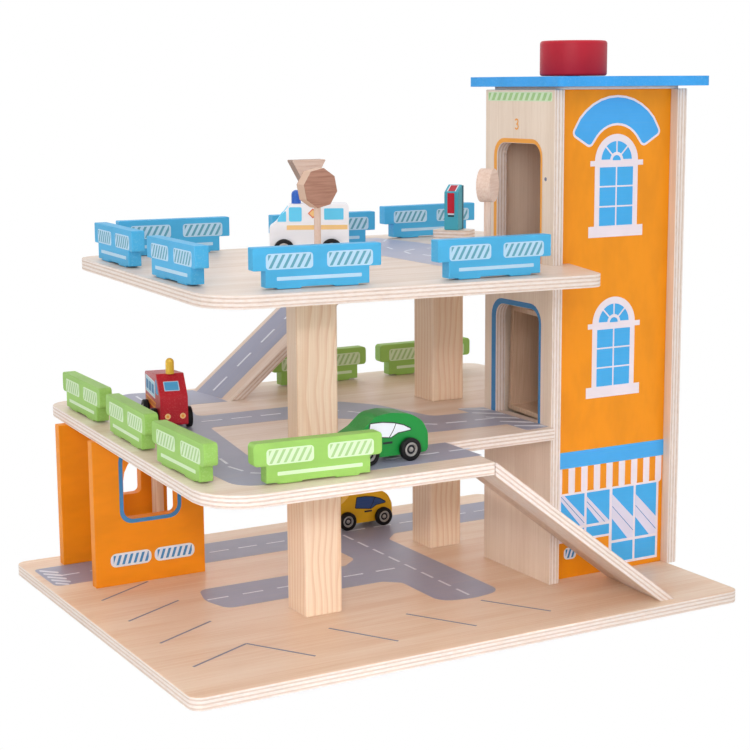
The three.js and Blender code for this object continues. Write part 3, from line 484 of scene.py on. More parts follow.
class Sheet:
    """Thin printed shapes on one plane, each a closed slab, stacked by their level."""

    def __init__(self, name, plane, body, film=0.12):
        self.name = name
        self.plane = plane
        self.body = body
        self.film = film
        self.shape = bmesh.new()
        self.keys = []

    def add(self, key, points, level=0):
        outline = [(p[0], p[1]) for p in points]
        if signed_area(outline) < 0:
            outline.reverse()
        if key not in self.keys:
            self.keys.append(key)
        low = LOWEST_FILM if level == 0 else self.film * level
        high = self.film * (level + 1)
        bottom = [self.shape.verts.new(self.plane.at(u, v, low)) for u, v in outline]
        top = [self.shape.verts.new(self.plane.at(u, v, high)) for u, v in outline]
        faces = [self.shape.faces.new(top), self.shape.faces.new(list(reversed(bottom)))]
        for index in range(len(outline)):
            after = (index + 1) % len(outline)
            faces.append(self.shape.faces.new((bottom[index], bottom[after], top[after], top[index])))
        for face in faces:
            face.material_index = self.keys.index(key)

    def box(self, key, left, low, right, high, level=0, radius=0.0):
        self.add(key, box_points(left, low, right, high, radius), level)

    def line(self, key, start, end, width, level=0):
        self.add(key, stroke([start, end], width), level)

    def disc(self, key, centre, radius, level, steps, last=360.0):
        """A whole disc, or a slice up to the last angle."""
        rim = arc(centre, radius, 0.0, last, steps)
        self.add(key, rim[:-1] if last >= 360.0 else [centre, *rim], level)

    def band(self, key, near, far):
        """Fills between two outlines with the same number of points."""
        for index in range(len(near) - 1):
            self.add(key, [near[index], far[index], far[index + 1], near[index + 1]])

    def bars(self, key, left, low, right, high, pitch, duty, slant, level=0):
        """Slanted bars clipped to a box."""
        shift = (high - low) * slant
        width = pitch * duty
        start = left - shift
        while start < right:
            bar = [(start, low), (start + width, low), (start + width + shift, high), (start + shift, high)]
            cut = clip(bar, left, right)
            if len(cut) > 2 and abs(signed_area(cut)) > SMALLEST_BAR:
                self.add(key, cut, level)
            start += pitch

    def finish(self):
        mesh = mesh_of(self.shape, self.name)
        write_place(mesh, self.plane.origin, self.plane.right, self.plane.up, self.plane.out)
        new_object(self.name, mesh, self.body, self.keys)


def clip(polygon, left, right):
    """The part of a polygon between two upright lines."""
    for limit, keep in ((left, 1), (right, -1)):
        result = []
        for index, point in enumerate(polygon):
            after = polygon[(index + 1) % len(polygon)]
            inside = (point[0] - limit) * keep >= 0
            next_inside = (after[0] - limit) * keep >= 0
            if inside:
                result.append(point)
            if inside != next_inside:
                share = (limit - point[0]) / (after[0] - point[0])
                result.append((limit, point[1] + share * (after[1] - point[1])))
        polygon = result
    return polygon


def skin(shape, rings, bands):
    """Smooth faces between neighbouring rings of vertices; a ring of one vertex is a tip."""
    for low, high, band in zip(rings, rings[1:], bands):
        count = max(len(low), len(high))
        for step in range(count if count > 1 else 0):
            after = (step + 1) % count
            near, far = len(low), len(high)
            corners = (low[step % near], low[after % near], high[after % far], high[step % far])
            face = shape.faces.new(tuple(dict.fromkeys(corners)))
            face.material_index = band
            face.smooth = True
    bmesh.ops.recalc_face_normals(shape, faces=shape.faces)


def ring_of(shape, centre, first, second, radius, steps):
    turns = [2 * math.pi * step / steps for step in range(steps)]
    ways = [first * math.cos(turn) + second * math.sin(turn) for turn in turns]
    return [shape.verts.new(centre + way * radius) for way in ways]


def turned(name, body, keys, profile, centre, axis, steps):
    """Solid of revolution: profile rows are (radius, level, material index of the band above it)."""
    axis = Vector(axis).normalized()
    side = axis.orthogonal().normalized()
    other = axis.cross(side)
    shape = bmesh.new()
    rings = []
    for radius, level, _ in profile:
        base = centre + axis * (level * MM)
        rings.append(ring_of(shape, base, side, other, radius * MM, steps if radius > 0 else 1))
    skin(shape, rings, [band for _, _, band in profile])
    mesh = mesh_of(shape, name)
    write_place(mesh, centre, axis, side, other)
    mesh.set_sharp_from_angle(angle=math.radians(35))
    return new_object(name, mesh, body, keys)


# Node trees

@functools.cache
def dash_tree():
    """Dashes set along every drawn line of the input mesh, made once."""
    tree = bpy.data.node_groups.new("dashes along lines", "GeometryNodeTree")
    face = tree.interface
    face.new_socket("Geometry", in_out="INPUT", socket_type="NodeSocketGeometry")
    for title in ("Dash Length", "Dash Gap", "Dash Width", "Film"):
        face.new_socket(title, in_out="INPUT", socket_type="NodeSocketFloat")
    face.new_socket("Material", in_out="INPUT", socket_type="NodeSocketMaterial")
    face.new_socket("Geometry", in_out="OUTPUT", socket_type="NodeSocketGeometry")
    start = add_node(tree, "NodeGroupInput")
    end = add_node(tree, "NodeGroupOutput")
    length, gap, width, film, ink = (start.outputs[name] for name in ("Dash Length", "Dash Gap", "Dash Width",
                                                                      "Film", "Material"))
    pitch = math_node(tree, "ADD", length, gap)
    line = add_node(tree, "GeometryNodeMeshToCurve", {"Mesh": start.outputs["Geometry"]})
    inputs = {"Curve": line.outputs[0], "Length": pitch}
    spots = add_node(tree, "GeometryNodeResampleCurve", inputs, mode="LENGTH")
    size = add_node(tree, "ShaderNodeCombineXYZ", {0: length, 1: width, 2: film})
    dash = add_node(tree, "GeometryNodeMeshCube", {"Size": size.outputs[0]})
    way = add_node(tree, "GeometryNodeInputTangent").outputs[0]
    turn = add_node(tree, "FunctionNodeAlignEulerToVector", {"Vector": way}, axis="X", pivot_axis="AUTO")
    inputs = {"Points": spots.outputs[0], "Instance": dash.outputs["Mesh"], "Rotation": turn.outputs[0]}
    copies = add_node(tree, "GeometryNodeInstanceOnPoints", inputs)
    solid = add_node(tree, "GeometryNodeRealizeInstances", {"Geometry": copies.outputs[0]})
    painted = add_node(tree, "GeometryNodeSetMaterial", {"Geometry": solid.outputs[0], "Material": ink})
    tree.links.new(painted.outputs[0], end.inputs[0])
    return tree


def through_tree(tree, mesh, name, values):
    """Runs a node tree on a mesh and returns the plain mesh it gives."""
    holder = place_object(name + " source", mesh)
    modifier = holder.modifiers.new("shape", "NODES")
    modifier.node_group = tree
    for item in tree.interface.items_tree:
        if item.in_out == "INPUT" and item.name in values:
            modifier[item.identifier] = values[item.name]
    holder.update_tag()
    bpy.context.view_layer.update()
    graph = bpy.context.evaluated_depsgraph_get()
    result = bpy.data.meshes.new_from_object(holder.evaluated_get(graph))
    result.name = name
    bpy.data.objects.remove(holder)
    return result


def dashes(name, plane, lines, length, gap, width, level):
    """Painted dashes along polylines drawn on a plane."""
    mesh = bpy.data.meshes.new(name)
    points, edges = [], []
    for line in lines:
        first = len(points)
        points += [plane.at(u, v, level) for u, v in line]
        edges += [(first + i, first + i + 1) for i in range(len(line) - 1)]
    mesh.from_pydata(points, edges, [])
    values = {"Dash Length": length * MM, "Dash Gap": gap * MM, "Dash Width": width * MM,
              "Film": DASH_FILM * MM, "Material": look("white_ink")}
    result = through_tree(dash_tree(), mesh, name, values)
    result.materials.clear()
    write_place(result, plane.origin, plane.right, plane.up, plane.out)
    new_object(name, result, BODY, ["white_ink"])


# Settings

def setting(name, description, default, low, high):
    return bpy.props.FloatProperty(name=name, description=description, default=default, min=low, max=high)


class GarageBoardSettings(bpy.types.PropertyGroup):
    edge_rounding: setting("Edge rounding", "Rounding of the boards' cut edges", 0.5, 0.1, 2.0)
    post_rounding: setting("Post rounding", "Rounding of the posts' corners", 0.8, 0.1, 2.0)


class GaragePrintSettings(bpy.types.PropertyGroup):
    film: setting("Ink film", "Thickness of one printed layer", 0.12, 0.05, 0.5)
    dash_length: setting("Dash length", "Length of a road dash", 17.0, 2.0, 30.0)
    dash_gap: setting("Dash gap", "Gap between road dashes", 7.5, 2.0, 30.0)
    dash_width: setting("Dash width", "Width of a road dash", 1.9, 0.5, 5.0)


class GarageBarrierSettings(bpy.types.PropertyGroup):
    rounding: setting("Barrier rounding", "Rounding of a barrier's edges", 0.9, 0.2, 2.0)
    hatch_pitch: setting("Hatch pitch", "Distance between hatch bars", 5.0, 2.0, 10.0)


class GarageVehicleSettings(bpy.types.PropertyGroup):
    rounding: setting("Body rounding", "Rounding of a vehicle body's edges", 1.1, 0.2, 3.0)
    wheel_steps: bpy.props.IntProperty(
        name="Wheel steps", description="Sides of a wheel's circle", default=48, min=12, max=96)


class GarageStageSettings(bpy.types.PropertyGroup):
    lens: setting("Lens", "Focal length on a 36 mm sensor", 80.5, 20.0, 200.0)
    key_power: setting("Key power", "Power of the large soft lamp", 14.0, 0.0, 500.0)
    fill_power: setting("Fill power", "Power of the soft fill lamp", 2.0, 0.0, 500.0)
    low_power: setting("Low power", "Power of the narrow lamp on the lower levels", 0.17, 0.0, 500.0)
    back_power: setting("Back power", "Power of the lamp behind the toy", 15.0, 0.0, 500.0)
    top_power: setting("Top power", "Power of the lamp overhead", 14.0, 0.0, 500.0)
    horizon: setting("Horizon", "Strength of the light tent near the horizon", 1.05, 0.0, 4.0)
    zenith: setting("Zenith", "Strength of the light tent overhead", 0.4, 0.0, 4.0)


# Planes and shapes in design millimetres

def floor_plane(top):
    return Plane(row(0, 0, top), (1, 0, 0), (0, 1, 0))


def arch(left, right, low, spring, steps):
    """Outline of an upright shape with a round head."""
    radius = (right - left) / 2
    return [(left, low), (right, low), *arc((left + radius, spring), radius, 0.0, 180.0, steps)]


def ramp_ways(flat, rise, run):
    """A ramp's directions: down along its board, and out of its top face."""
    slope = math.atan2(rise, run)
    return flat * math.cos(slope) - UP * math.sin(slope), flat * math.sin(slope) + UP * math.cos(slope)


class BuildBoards(bpy.types.Operator):
    """Gives the base, decks, ramps and posts their wood"""
    bl_idname = "garage.build_boards"
    bl_label = "Boards and posts"

    def execute(self, context):
        edge = context.scene.garage_boards.edge_rounding
        for node in ("base_board", "middle_deck", "upper_deck"):
            refined(node, BODY, "base_ply" if node == "base_board" else "ply", edge, slot="birch_plywood")
        ramps = (("lower_ramp", Vector((1, 0, 0)), MIDDLE_TOP - BASE_TOP, LOWER_RAMP_RUN),
                 ("upper_ramp", -heading(UPPER_RAMP_YAW), UPPER_TOP - MIDDLE_TOP, UPPER_RAMP_RUN))
        for node, flat, rise, run in ramps:
            along, through = ramp_ways(flat, rise, run)
            refined(node, BODY, "ply", 0.35, along=along, through=through, slot="birch_plywood")
        rounding = context.scene.garage_boards.post_rounding
        for node in ("lower_front_post", "upper_front_post", "lower_rear_post", "upper_rear_post",
                     "slim_post"):
            refined(node, BODY, "pine", rounding, slot="pine", **UPRIGHT)
        for node in ("front_wall", "rear_wall"):
            refined(node, BODY, "wall_orange", edge, through=(0, 1, 0), slot="orange_paint")
        return {"FINISHED"}


class BuildTower(bpy.types.Operator):
    """Gives the tower's panels and roof their wood and paint"""
    bl_idname = "garage.build_tower"
    bl_label = "Tower"

    def execute(self, context):
        edge = context.scene.garage_boards.edge_rounding
        for node in ("tower_left_panel", "tower_right_panel"):
            refined(node, BODY, "tower_ply", edge, along=(0, 0, 1), through=(1, 0, 0), slot="birch_plywood")
        refined("tower_back_panel", BODY, "tower_ply", edge, slot="birch_plywood", **UPRIGHT)
        refined("tower_front_panel", BODY, "orange", 0.7, slot="orange_paint", **UPRIGHT)
        refined("tower_roof", BODY, "sky", 0.6, slot="blue_paint")
        refined("roof_locating_board", BODY, "cabin_ply", 0.3, slot="birch_plywood")
        return {"FINISHED"}


class BuildLift(bpy.types.Operator):
    """Builds the knob, spindle, guide bar, cord and cabin"""
    bl_idname = "garage.build_lift"
    bl_label = "Lift"

    def execute(self, context):
        low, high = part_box("lift_knob")
        centre = Vector(((low[0] + high[0]) / 2, (low[1] + high[1]) / 2, low[2]))
        radius = (high[0] - low[0]) / 2 / MM
        height = (high[2] - low[2]) / MM
        foot, crown, bore, depth = 2.0, 2.4, 5.2, 16.0
        rim = arc((radius - foot, foot), foot, -90.0, 0.0, 4)
        rim += arc((radius - crown, height - crown), crown, 0.0, 90.0, 6)
        outline = [(0.0, depth), (bore, depth), (bore, 0.0), (radius - foot, 0.0), *rim, (0.0, height)]
        profile = [(*point, 0) for point in outline]
        knob = turned("lift_knob_finish", "lift_drive", ["knob_red"], profile, centre, UP, 72)
        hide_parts("lift_knob")
        refined("winding_spindle", "lift_drive", "beech", 0.3, slot="beech", **UPRIGHT)
        refined("cord_guide_bar", BODY, "dowel", 0.2, through=(0, 1, 0), slot="beech")
        refined("lift_cabin", "lift_car", "cabin_ply", 0.4, slot="birch_plywood", cut_edges=False, **UPRIGHT)
        self.cord()
        return {"FINISHED"}

    def cord(self):
        """The cord from the spindle over the guide bar to its knot under the cabin's roof."""
        low, high = (Vector(corner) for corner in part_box("lift_cord"))
        across = Vector((1, 0, 0))
        x = (low.x + high.x) / 2
        knot, radius, bend = 2.0 * MM, 0.8 * MM, 3.1 * MM
        sides, steps, girth = 12, 40, 5.04
        drop_y = high.y - knot
        top_z = high.z - radius
        bottom = low.z + knot
        path = [Vector((x, low.y, top_z))]
        path += [Vector((x, y, z)) for y, z in arc((drop_y - bend, top_z - bend), bend, 90.0, 0.0, 8)]
        last = path[-1].z
        path += [Vector((x, drop_y, last + (bottom - last) * step / steps)) for step in range(1, steps + 1)]
        shape = bmesh.new()
        rings = []
        places = []
        travelled = 0.0
        for before, point, after in zip([path[0], *path], path, [*path[1:], path[-1]]):
            travelled += (point - before).length / MM
            side = (after - before).normalized().cross(across)
            rings.append(ring_of(shape, point, across, side, radius, sides))
            places += [(travelled, girth * step / sides, 0.0) for step in range(sides)]
        shape.faces.new(rings[0])
        shape.faces.new(list(reversed(rings[-1])))
        skin(shape, rings, [0] * len(rings))
        mesh = mesh_of(shape, "lift_cord_finish")
        store_places(mesh, places)
        mesh.materials.append(look("cord"))
        cord = place_object("lift_cord_finish", mesh)
        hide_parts("lift_cord")
        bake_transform(cord)
        size = knot / MM
        ball = [(0.0, -size), *arc((0.0, 0.0), size, -90.0, 90.0, 8)[1:-1], (0.0, size)]
        turned("lift_cord_knot", "lift_car", ["cord"], [(*point, 0) for point in ball], path[-1], UP, 16)


def barrier_plane(node, turn, side):
    """The front (side 1) or back (side -1) face of a barrier, centred on its foot."""
    low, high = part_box(node)
    middle = Vector(((low[0] + high[0]) / 2, (low[1] + high[1]) / 2, low[2]))
    right = heading(turn) * side
    return Plane(middle + right.cross(UP) * (BARRIER_THICKNESS / 2 * MM), right, UP)


BARRIER_TURNS = {
    "blue_barrier_front_left": -0.11, "blue_barrier_front_right": -0.04, "blue_barrier_left_rear": 1.515,
    "blue_barrier_left_front": 1.5411, "blue_barrier_back_left": -0.0942, "blue_barrier_back_middle": -0.0942,
    "blue_barrier_back_right": -0.02, "green_barrier_left_rear": 1.5411, "green_barrier_left_middle": 1.5115,
    "green_barrier_left_front": 1.5551, "green_barrier_front": -0.0716, "green_barrier_back_left": 0.0,
    "green_barrier_back_right": -0.0367,
}
HATCH_LEFTS = (-37.0, 6.4)
HATCH_WIDTH = 33.4
HATCH_LOW = 13.2
HATCH_HIGH = 23.8
HATCH_RADIUS = 2.4
HATCH_SIDE_RIM = 1.6
HATCH_RIM = 0.9


class BuildBarriers(bpy.types.Operator):
    """Builds the loose barriers with their hatch prints"""
    bl_idname = "garage.build_barriers"
    bl_label = "Barriers"

    def execute(self, context):
        settings = context.scene.garage_barriers
        for node, turn in BARRIER_TURNS.items():
            blue = node.startswith("blue")
            paint = "barrier_blue" if blue else "barrier_green"
            slot = "barrier_blue_paint" if blue else "barrier_green_paint"
            along = heading(turn)
            refined(node, node, paint, settings.rounding, along=along, through=UP.cross(along), segments=3,
                    slot=slot)
            patch = "pale_blue_ink" if blue else "pale_green_ink"
            stripe = "teal_ink" if blue else "green_ink"
            for side, title in ((1, "_print_front"), (-1, "_print_back")):
                sheet = Sheet(node + title, barrier_plane(node, turn, side), node)
                for left in HATCH_LEFTS:
                    right = left + HATCH_WIDTH
                    sheet.box(patch, left, HATCH_LOW, right, HATCH_HIGH, 0, HATCH_RADIUS)
                    sheet.bars(stripe, left + HATCH_SIDE_RIM, HATCH_LOW + HATCH_RIM, right - HATCH_SIDE_RIM,
                               HATCH_HIGH - HATCH_RIM, settings.hatch_pitch, 0.42, 0.55, 1)
                sheet.box(patch, -29.5, 5.7, 31.5, 8.2, 0, 0.6)
                sheet.finish()
        return {"FINISHED"}


class BuildSigns(bpy.types.Operator):
    """Gives the signs and the fuel pump their wood, paint and small prints"""
    bl_idname = "garage.build_signs"
    bl_label = "Signs and fuel pump"

    def execute(self, context):
        # The triangle sign's pale board has painted shade on its cut edges.
        looks = {"octagon_sign": ("dark_beech", 0.1), "triangle_sign": ("pale_board_edge_shade", 0.0),
                 "disc_sign": ("dowel", 0.69)}
        for name, (key, turn) in looks.items():
            along = heading(turn)
            refined(name + "_board", name, key, 0.35, along=along, through=UP.cross(along), slot="beech")
            refined(name + "_pole", name, "dowel", 0.2, slot="beech", **UPRIGHT)
        self.pump()
        return {"FINISHED"}

    def pump(self):
        """The fuel pump, turned on its foot, with its display, slot and top stripe; its back board's darker
        teal is painted shade.
        """
        x, y, turn = PUMP
        side = heading(turn)
        front = side.cross(UP)
        upright = {"along": UP, "through": front}
        refined("fuel_pump_foot", "fuel_pump", "ply", 0.6, along=side, slot="birch_plywood")
        refined("fuel_pump_body", "fuel_pump", "teal", 0.9, segments=3, slot="teal_paint", **upright)
        # The back board gets the body's teal darkened, as painted shade.
        refined("fuel_pump_back_board", "fuel_pump", "shaded_teal", 0.6, slot="dark_teal_paint", **upright)
        refined("fuel_pump_display", "fuel_pump", "knob_red", 0.2, slot="red_paint", **upright)
        face = row(x, y, UPPER_TOP) + (front * 7.5 + UP * 12.0) * MM
        sheet = Sheet("fuel_pump_front_print", Plane(face, side, UP), "fuel_pump")
        sheet.box("dark_ink", -2.8, 11.2, 2.8, 12.6, 0, 0.3)
        sheet.box("white_ink", -2.8, 12.9, 2.8, 14.0, 0, 0.3)
        sheet.finish()
        top = Plane(face + UP * (32.0 * MM), side, UP * 6.0 - front * 11.0)
        sheet = Sheet("fuel_pump_top_print", top, "fuel_pump")
        sheet.box("white_ink", -3.9, 1.1, 3.9, 11.0, 0, 0.4)
        sheet.box("red_ink", -3.0, 1.1, 3.0, 10.2, 1, 0.4)
        sheet.finish()


PUMP = (366.48, 274.21, -0.9)
VEHICLES = {
    "ambulance": (180.405, 248.186, UPPER_TOP, -0.471, 11.1, 47.9, "van_white", "white_paint"),
    "green_car": (135.495, 55.514, MIDDLE_TOP, 0.0, 16.0, 49.0, "car_green", "green_paint"),
    "yellow_car": (262.89, 316.516, BASE_TOP, 0.0, 14.3, 50.0, "car_yellow", "yellow_paint"),
    "fire_truck": (84.6, 219.698, MIDDLE_TOP, 1.357, 13.0, 51.0, "truck_red", "red_paint"),
}
HALF_WIDTH = 10.5
WHEEL_RADIUS = 8.0
WHEEL_INNER = 10.9
WHEEL_OUTER = 15.4
WHEEL_CORNER = 1.1
HUB_STEPS = ((4.9, 0.55, 1), (4.3, 0.3, 1), (3.6, 0.5, 1), (3.2, 1.3, 2), (1.7, 1.3, 1), (1.6, 0.7, 1),
             (0.9, 0.45, 1), (0.0, 0.4, 1))


class Chassis:
    """A vehicle's own directions: along from its nose to its tail, across to its left."""

    def __init__(self, name):
        x, y, level, turn = VEHICLES[name][:4]
        self.nose = row(x, y, level + SEAT_CLEARANCE)
        self.along = heading(turn)
        self.across = UP.cross(self.along)

    def side(self, sign):
        """Side 1 lies on minus across, with u from nose to tail; on side -1 the u runs from tail to nose."""
        return Plane(self.nose - self.across * (HALF_WIDTH * MM * sign), self.along * sign, UP)

    def nose_face(self):
        return Plane(self.nose, -self.across, UP)

    def slope(self, low_along, low_up, high_along, high_up):
        start = self.nose + (self.along * low_along + UP * low_up) * MM
        return Plane(start, -self.across, self.along * (high_along - low_along) + UP * (high_up - low_up))


def side_prints(name, draw):
    """Draws the same shapes on both sides of a vehicle."""
    for sign, title in ((1, "right"), (-1, "left")):
        sheet = Sheet(f"{name}_print_{title}", Chassis(name).side(sign), name)
        draw(lambda key, points, level=0: sheet.add(key, [(u * sign, v) for u, v in points], level))
        sheet.finish()


def stroke(points, width):
    """A closed outline round an open polyline."""
    line = [Vector(p) for p in points]
    left, right = [], []
    for index, point in enumerate(line):
        way = (line[min(index + 1, len(line) - 1)] - line[max(index - 1, 0)]).normalized()
        side = Vector((-way.y, way.x)) * (width / 2)
        left.append(point + side)
        right.append(point - side)
    return left + list(reversed(right))


def grown(points, reach):
    """A closed outline pushed outwards by a distance."""
    line = [Vector(p[:2]) for p in points]
    if signed_area(line) < 0:
        line.reverse()
    result = []
    for index, point in enumerate(line):
        before = (point - line[index - 1]).normalized()
        after = (line[(index + 1) % len(line)] - point).normalized()
        first = Vector((before.y, -before.x))
        second = Vector((after.y, -after.x))
        mean = first + second
        if mean.length < 1e-6:
            result.append(point + first * reach)
            continue
        mean.normalize()
        result.append(point + mean * (reach / max(mean.dot(first), 0.4)))
    return result


CAR_WINDOW = [(0.0, 19.6, 0.4), (1.5, 28.2, 0.4), (10.3, 28.2, 2.0), (19.2, 27.0, 3.0), (26.9, 24.7, 3.0),
              (33.1, 21.2, 0.4), (22.5, 20.2, 3.0), (17.0, 17.4, 0.6)]


def draw_car(window, start, stretch, drop, grip):
    """Side window from its front corner with a stretch along the car and a drop, and the door handle."""
    def draw(add):
        outline = rounded([(start + u * stretch, v - drop, radius) for u, v, radius in CAR_WINDOW], steps=4)
        add("dark_ink", grown(outline, 0.75), 0)
        add(window, outline, 1)
        post = [(start + u * stretch, v - drop) for u, v in ((15.5, 17.1), (18.9, 22.2), (20.9, 26.7))]
        add("dark_ink", stroke(post, 0.55), 2)
        add("dark_ink", box_points(grip, 12.9, grip + 7.5, 14.5, 0.3), 0)
    return draw


def draw_ambulance(add):
    add("cyan_ink", rounded([(6.0, 29.2, 0.5), (13.1, 29.2, 0.5), (13.1, 37.8, 0.5), (9.4, 34.8, 3.0),
                             (7.2, 31.8, 2.0)]), 0)
    add("cyan_ink", box_points(15.2, 29.2, 25.1, 40.3, 1.2), 0)
    add("cyan_ink", box_points(42.4, 30.4, 57.4, 39.2, 0.8), 0)
    add("pale_orange_ink", box_points(13.4, 22.9, 60.4, 26.4, 0.2), 0)
    diamond = arc((33.7, 35.4), 3.9, 0.0, 270.0, 3)
    add("coral_ink", diamond, 0)
    add("pale_orange_ink", grown(diamond, -0.8), 1)


def draw_truck(add):
    add("white_ink", box_points(21.0, 21.5, 61.5, 34.6, 0.8), 0)
    add("pale_blue_ink", box_points(21.8, 22.3, 60.7, 33.8, 0.5), 1)
    window = [(6.5, 26.5, 0.5), (18.0, 26.5, 0.5), (18.0, 36.8, 0.5), (14.6, 36.8, 0.5)]
    add("glass_blue_ink", rounded(window), 0)
    for left in (25.0, 37.0, 49.0):
        add("slate_blue_ink", box_points(left, 24.6, left + 8.6, 31.6, 0.5), 2)
    add("orange_ink", box_points(18.5, 17.6, 63.0, 18.8, 0.2), 0)
    add("orange_ink", box_points(18.5, 13.6, 63.0, 14.8, 0.2), 0)
    for step in range(12):
        left = 20.5 + 3.6 * step
        add("orange_ink", box_points(left, 14.9, left + 0.9, 17.5, 0.1), 0)


class BuildVehicles(bpy.types.Operator):
    """Builds the four small vehicles' bodies, wheels, lights and prints"""
    bl_idname = "garage.build_vehicles"
    bl_label = "Vehicles"

    def execute(self, context):
        settings = context.scene.garage_vehicles
        draws = (draw_ambulance, draw_car("white_ink", 17.6, 1.03, 0.0, 28.9),
                 draw_car("navy_ink", 23.8, 0.9, 1.4, 32.4), draw_truck)
        for name, (*_, front, rear, paint, slot) in VEHICLES.items():
            chassis = Chassis(name)
            refined(name + "_body", name, paint, settings.rounding, along=chassis.along,
                    through=chassis.across, segments=3, slot=slot)
            for end, inset in (("front", front), ("rear", rear)):
                self.wheels(name, end, chassis, inset, settings.wheel_steps)
        refined("ambulance_light", "ambulance", "lamp_blue", 0.15, slot="lamp_blue_paint", **UPRIGHT)
        refined("fire_truck_light", "fire_truck", "lamp_yellow", 0.15, slot="lamp_yellow_paint", **UPRIGHT)
        for name, draw in zip(VEHICLES, draws):
            side_prints(name, draw)
        self.faces()
        return {"FINISHED"}

    def wheels(self, name, end, chassis, inset, steps):
        """Two wheels on their axle: tyre, bright hub ring and a small axle end."""
        inner, outer, radius, corner = WHEEL_INNER, WHEEL_OUTER, WHEEL_RADIUS, WHEEL_CORNER
        rim = arc((radius - corner, inner + corner), corner, -90.0, 0.0, 4)
        rim += arc((radius - corner, outer - corner), corner, 0.0, 90.0, 4)
        half = [(1.9, inner, 0), (6.6, inner, 0), *((*point, 0) for point in rim), (5.3, outer, 0)]
        half += [(reach, outer - depth, band) for reach, depth, band in HUB_STEPS]
        bands = [0] + [band for _, _, band in half[:-1]]
        profile = [(point[0], -point[1], band) for point, band in zip(half, bands)][::-1] + half
        centre = chassis.nose + (chassis.along * inset + UP * radius) * MM
        node = f"{name}_{end}_wheels"
        wheels = turned(node + "_finish", f"{name}_{end}_axle", ["tyre", "hub", "dark_ink"], profile, centre,
                        -chassis.across, steps)
        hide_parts(node)

    def faces(self):
        """Windscreens and headlights of the vehicles that show their noses."""
        ambulance = Chassis("ambulance")
        sheet = Sheet("ambulance_windscreen", ambulance.slope(4.92, 28.33, 15.99, 42.5), "ambulance")
        sheet.box("cyan_ink", -8.4, 2.4, 8.4, 15.4, 0, 1.4)
        sheet.finish()
        truck = Chassis("fire_truck")
        sheet = Sheet("fire_truck_windscreen", truck.slope(0.0, 26.21, 14.95, 41.5), "fire_truck")
        sheet.box("pale_blue_ink", -6.3, 5.2, 5.3, 14.0, 0, 0.7)
        sheet.box("glass_blue_ink", -5.6, 5.9, 4.6, 13.3, 1, 0.4)
        sheet.finish()
        sheet = Sheet("fire_truck_headlights", truck.nose_face(), "fire_truck")
        for u in (-5.0, 6.4):
            sheet.disc("pale_orange_ink", (u, 11.3), 2.2, 0, 24)
            sheet.disc("orange_ink", (u, 11.3), 1.1, 1, 16)
        sheet.finish()


ROADS = {
    "base_roads": (BASE_TOP, "road", (
        (6, 276, 6), (222, 276, 14), (240, 262, 6), (240, 224, 12), (224, 210.5, 6), (97, 210.5, 9),
        (90, 184, 30), (97, 158.5, 9), (228, 158.5, 10), (240, 148, 8), (240, 92, 14), (267, 87, 30),
        (294, 92, 14), (294, 262, 10), (308, 276, 8), (447, 276, 0), (447, 328.5, 0), (5.5, 328.5, 5))),
    "middle_deck_roads": (MIDDLE_TOP, "road", (
        (50, 31.5, 18), (236.5, 31.5, 0), (236.5, 80.5, 0), (104, 80.5, 12), (92, 94, 10), (113, 219, 6),
        (196, 215.5, 12), (226, 186, 14), (240, 117, 8), (312, 112, 0), (312, 165, 0), (280, 168.5, 8),
        (266, 232, 14), (246, 261, 12), (122, 263.5, 6), (134, 312, 8), (169, 309, 0), (169, 370, 0),
        (112, 384, 14), (88, 372, 14), (50, 96, 12))),
    "upper_deck_roads": (UPPER_TOP, "pale_road", (
        (333, 106, 0), (333, 158, 0), (329, 162, 4), (329, 232, 8), (346, 240, 4), (346, 300, 0),
        (338, 358, 0), (296, 350, 22), (265, 236, 10), (263, 128, 14), (284, 108, 10))),
}
DASHES = {
    "base_road_dashes": (BASE_TOP, (
        ((26, 302), (440, 302)), ((101, 184.5), (246, 184.5)), ((267, 284), (267, 104)))),
    "middle_deck_dashes": (MIDDLE_TOP, (
        ((125, 242), (214, 238), (236, 216), (252, 148), (270, 139.5), (308, 137)),
        ((112, 360), (104, 290), (73, 105), (70, 74), (84, 57), (232, 54)))),
    "upper_deck_dashes": (UPPER_TOP, (
        ((322, 133), (304, 136), (294, 152), (296, 198), (291.6, 241.8), (333, 251.5)),
        ((300, 268), (308, 300), (330, 328)))),
}


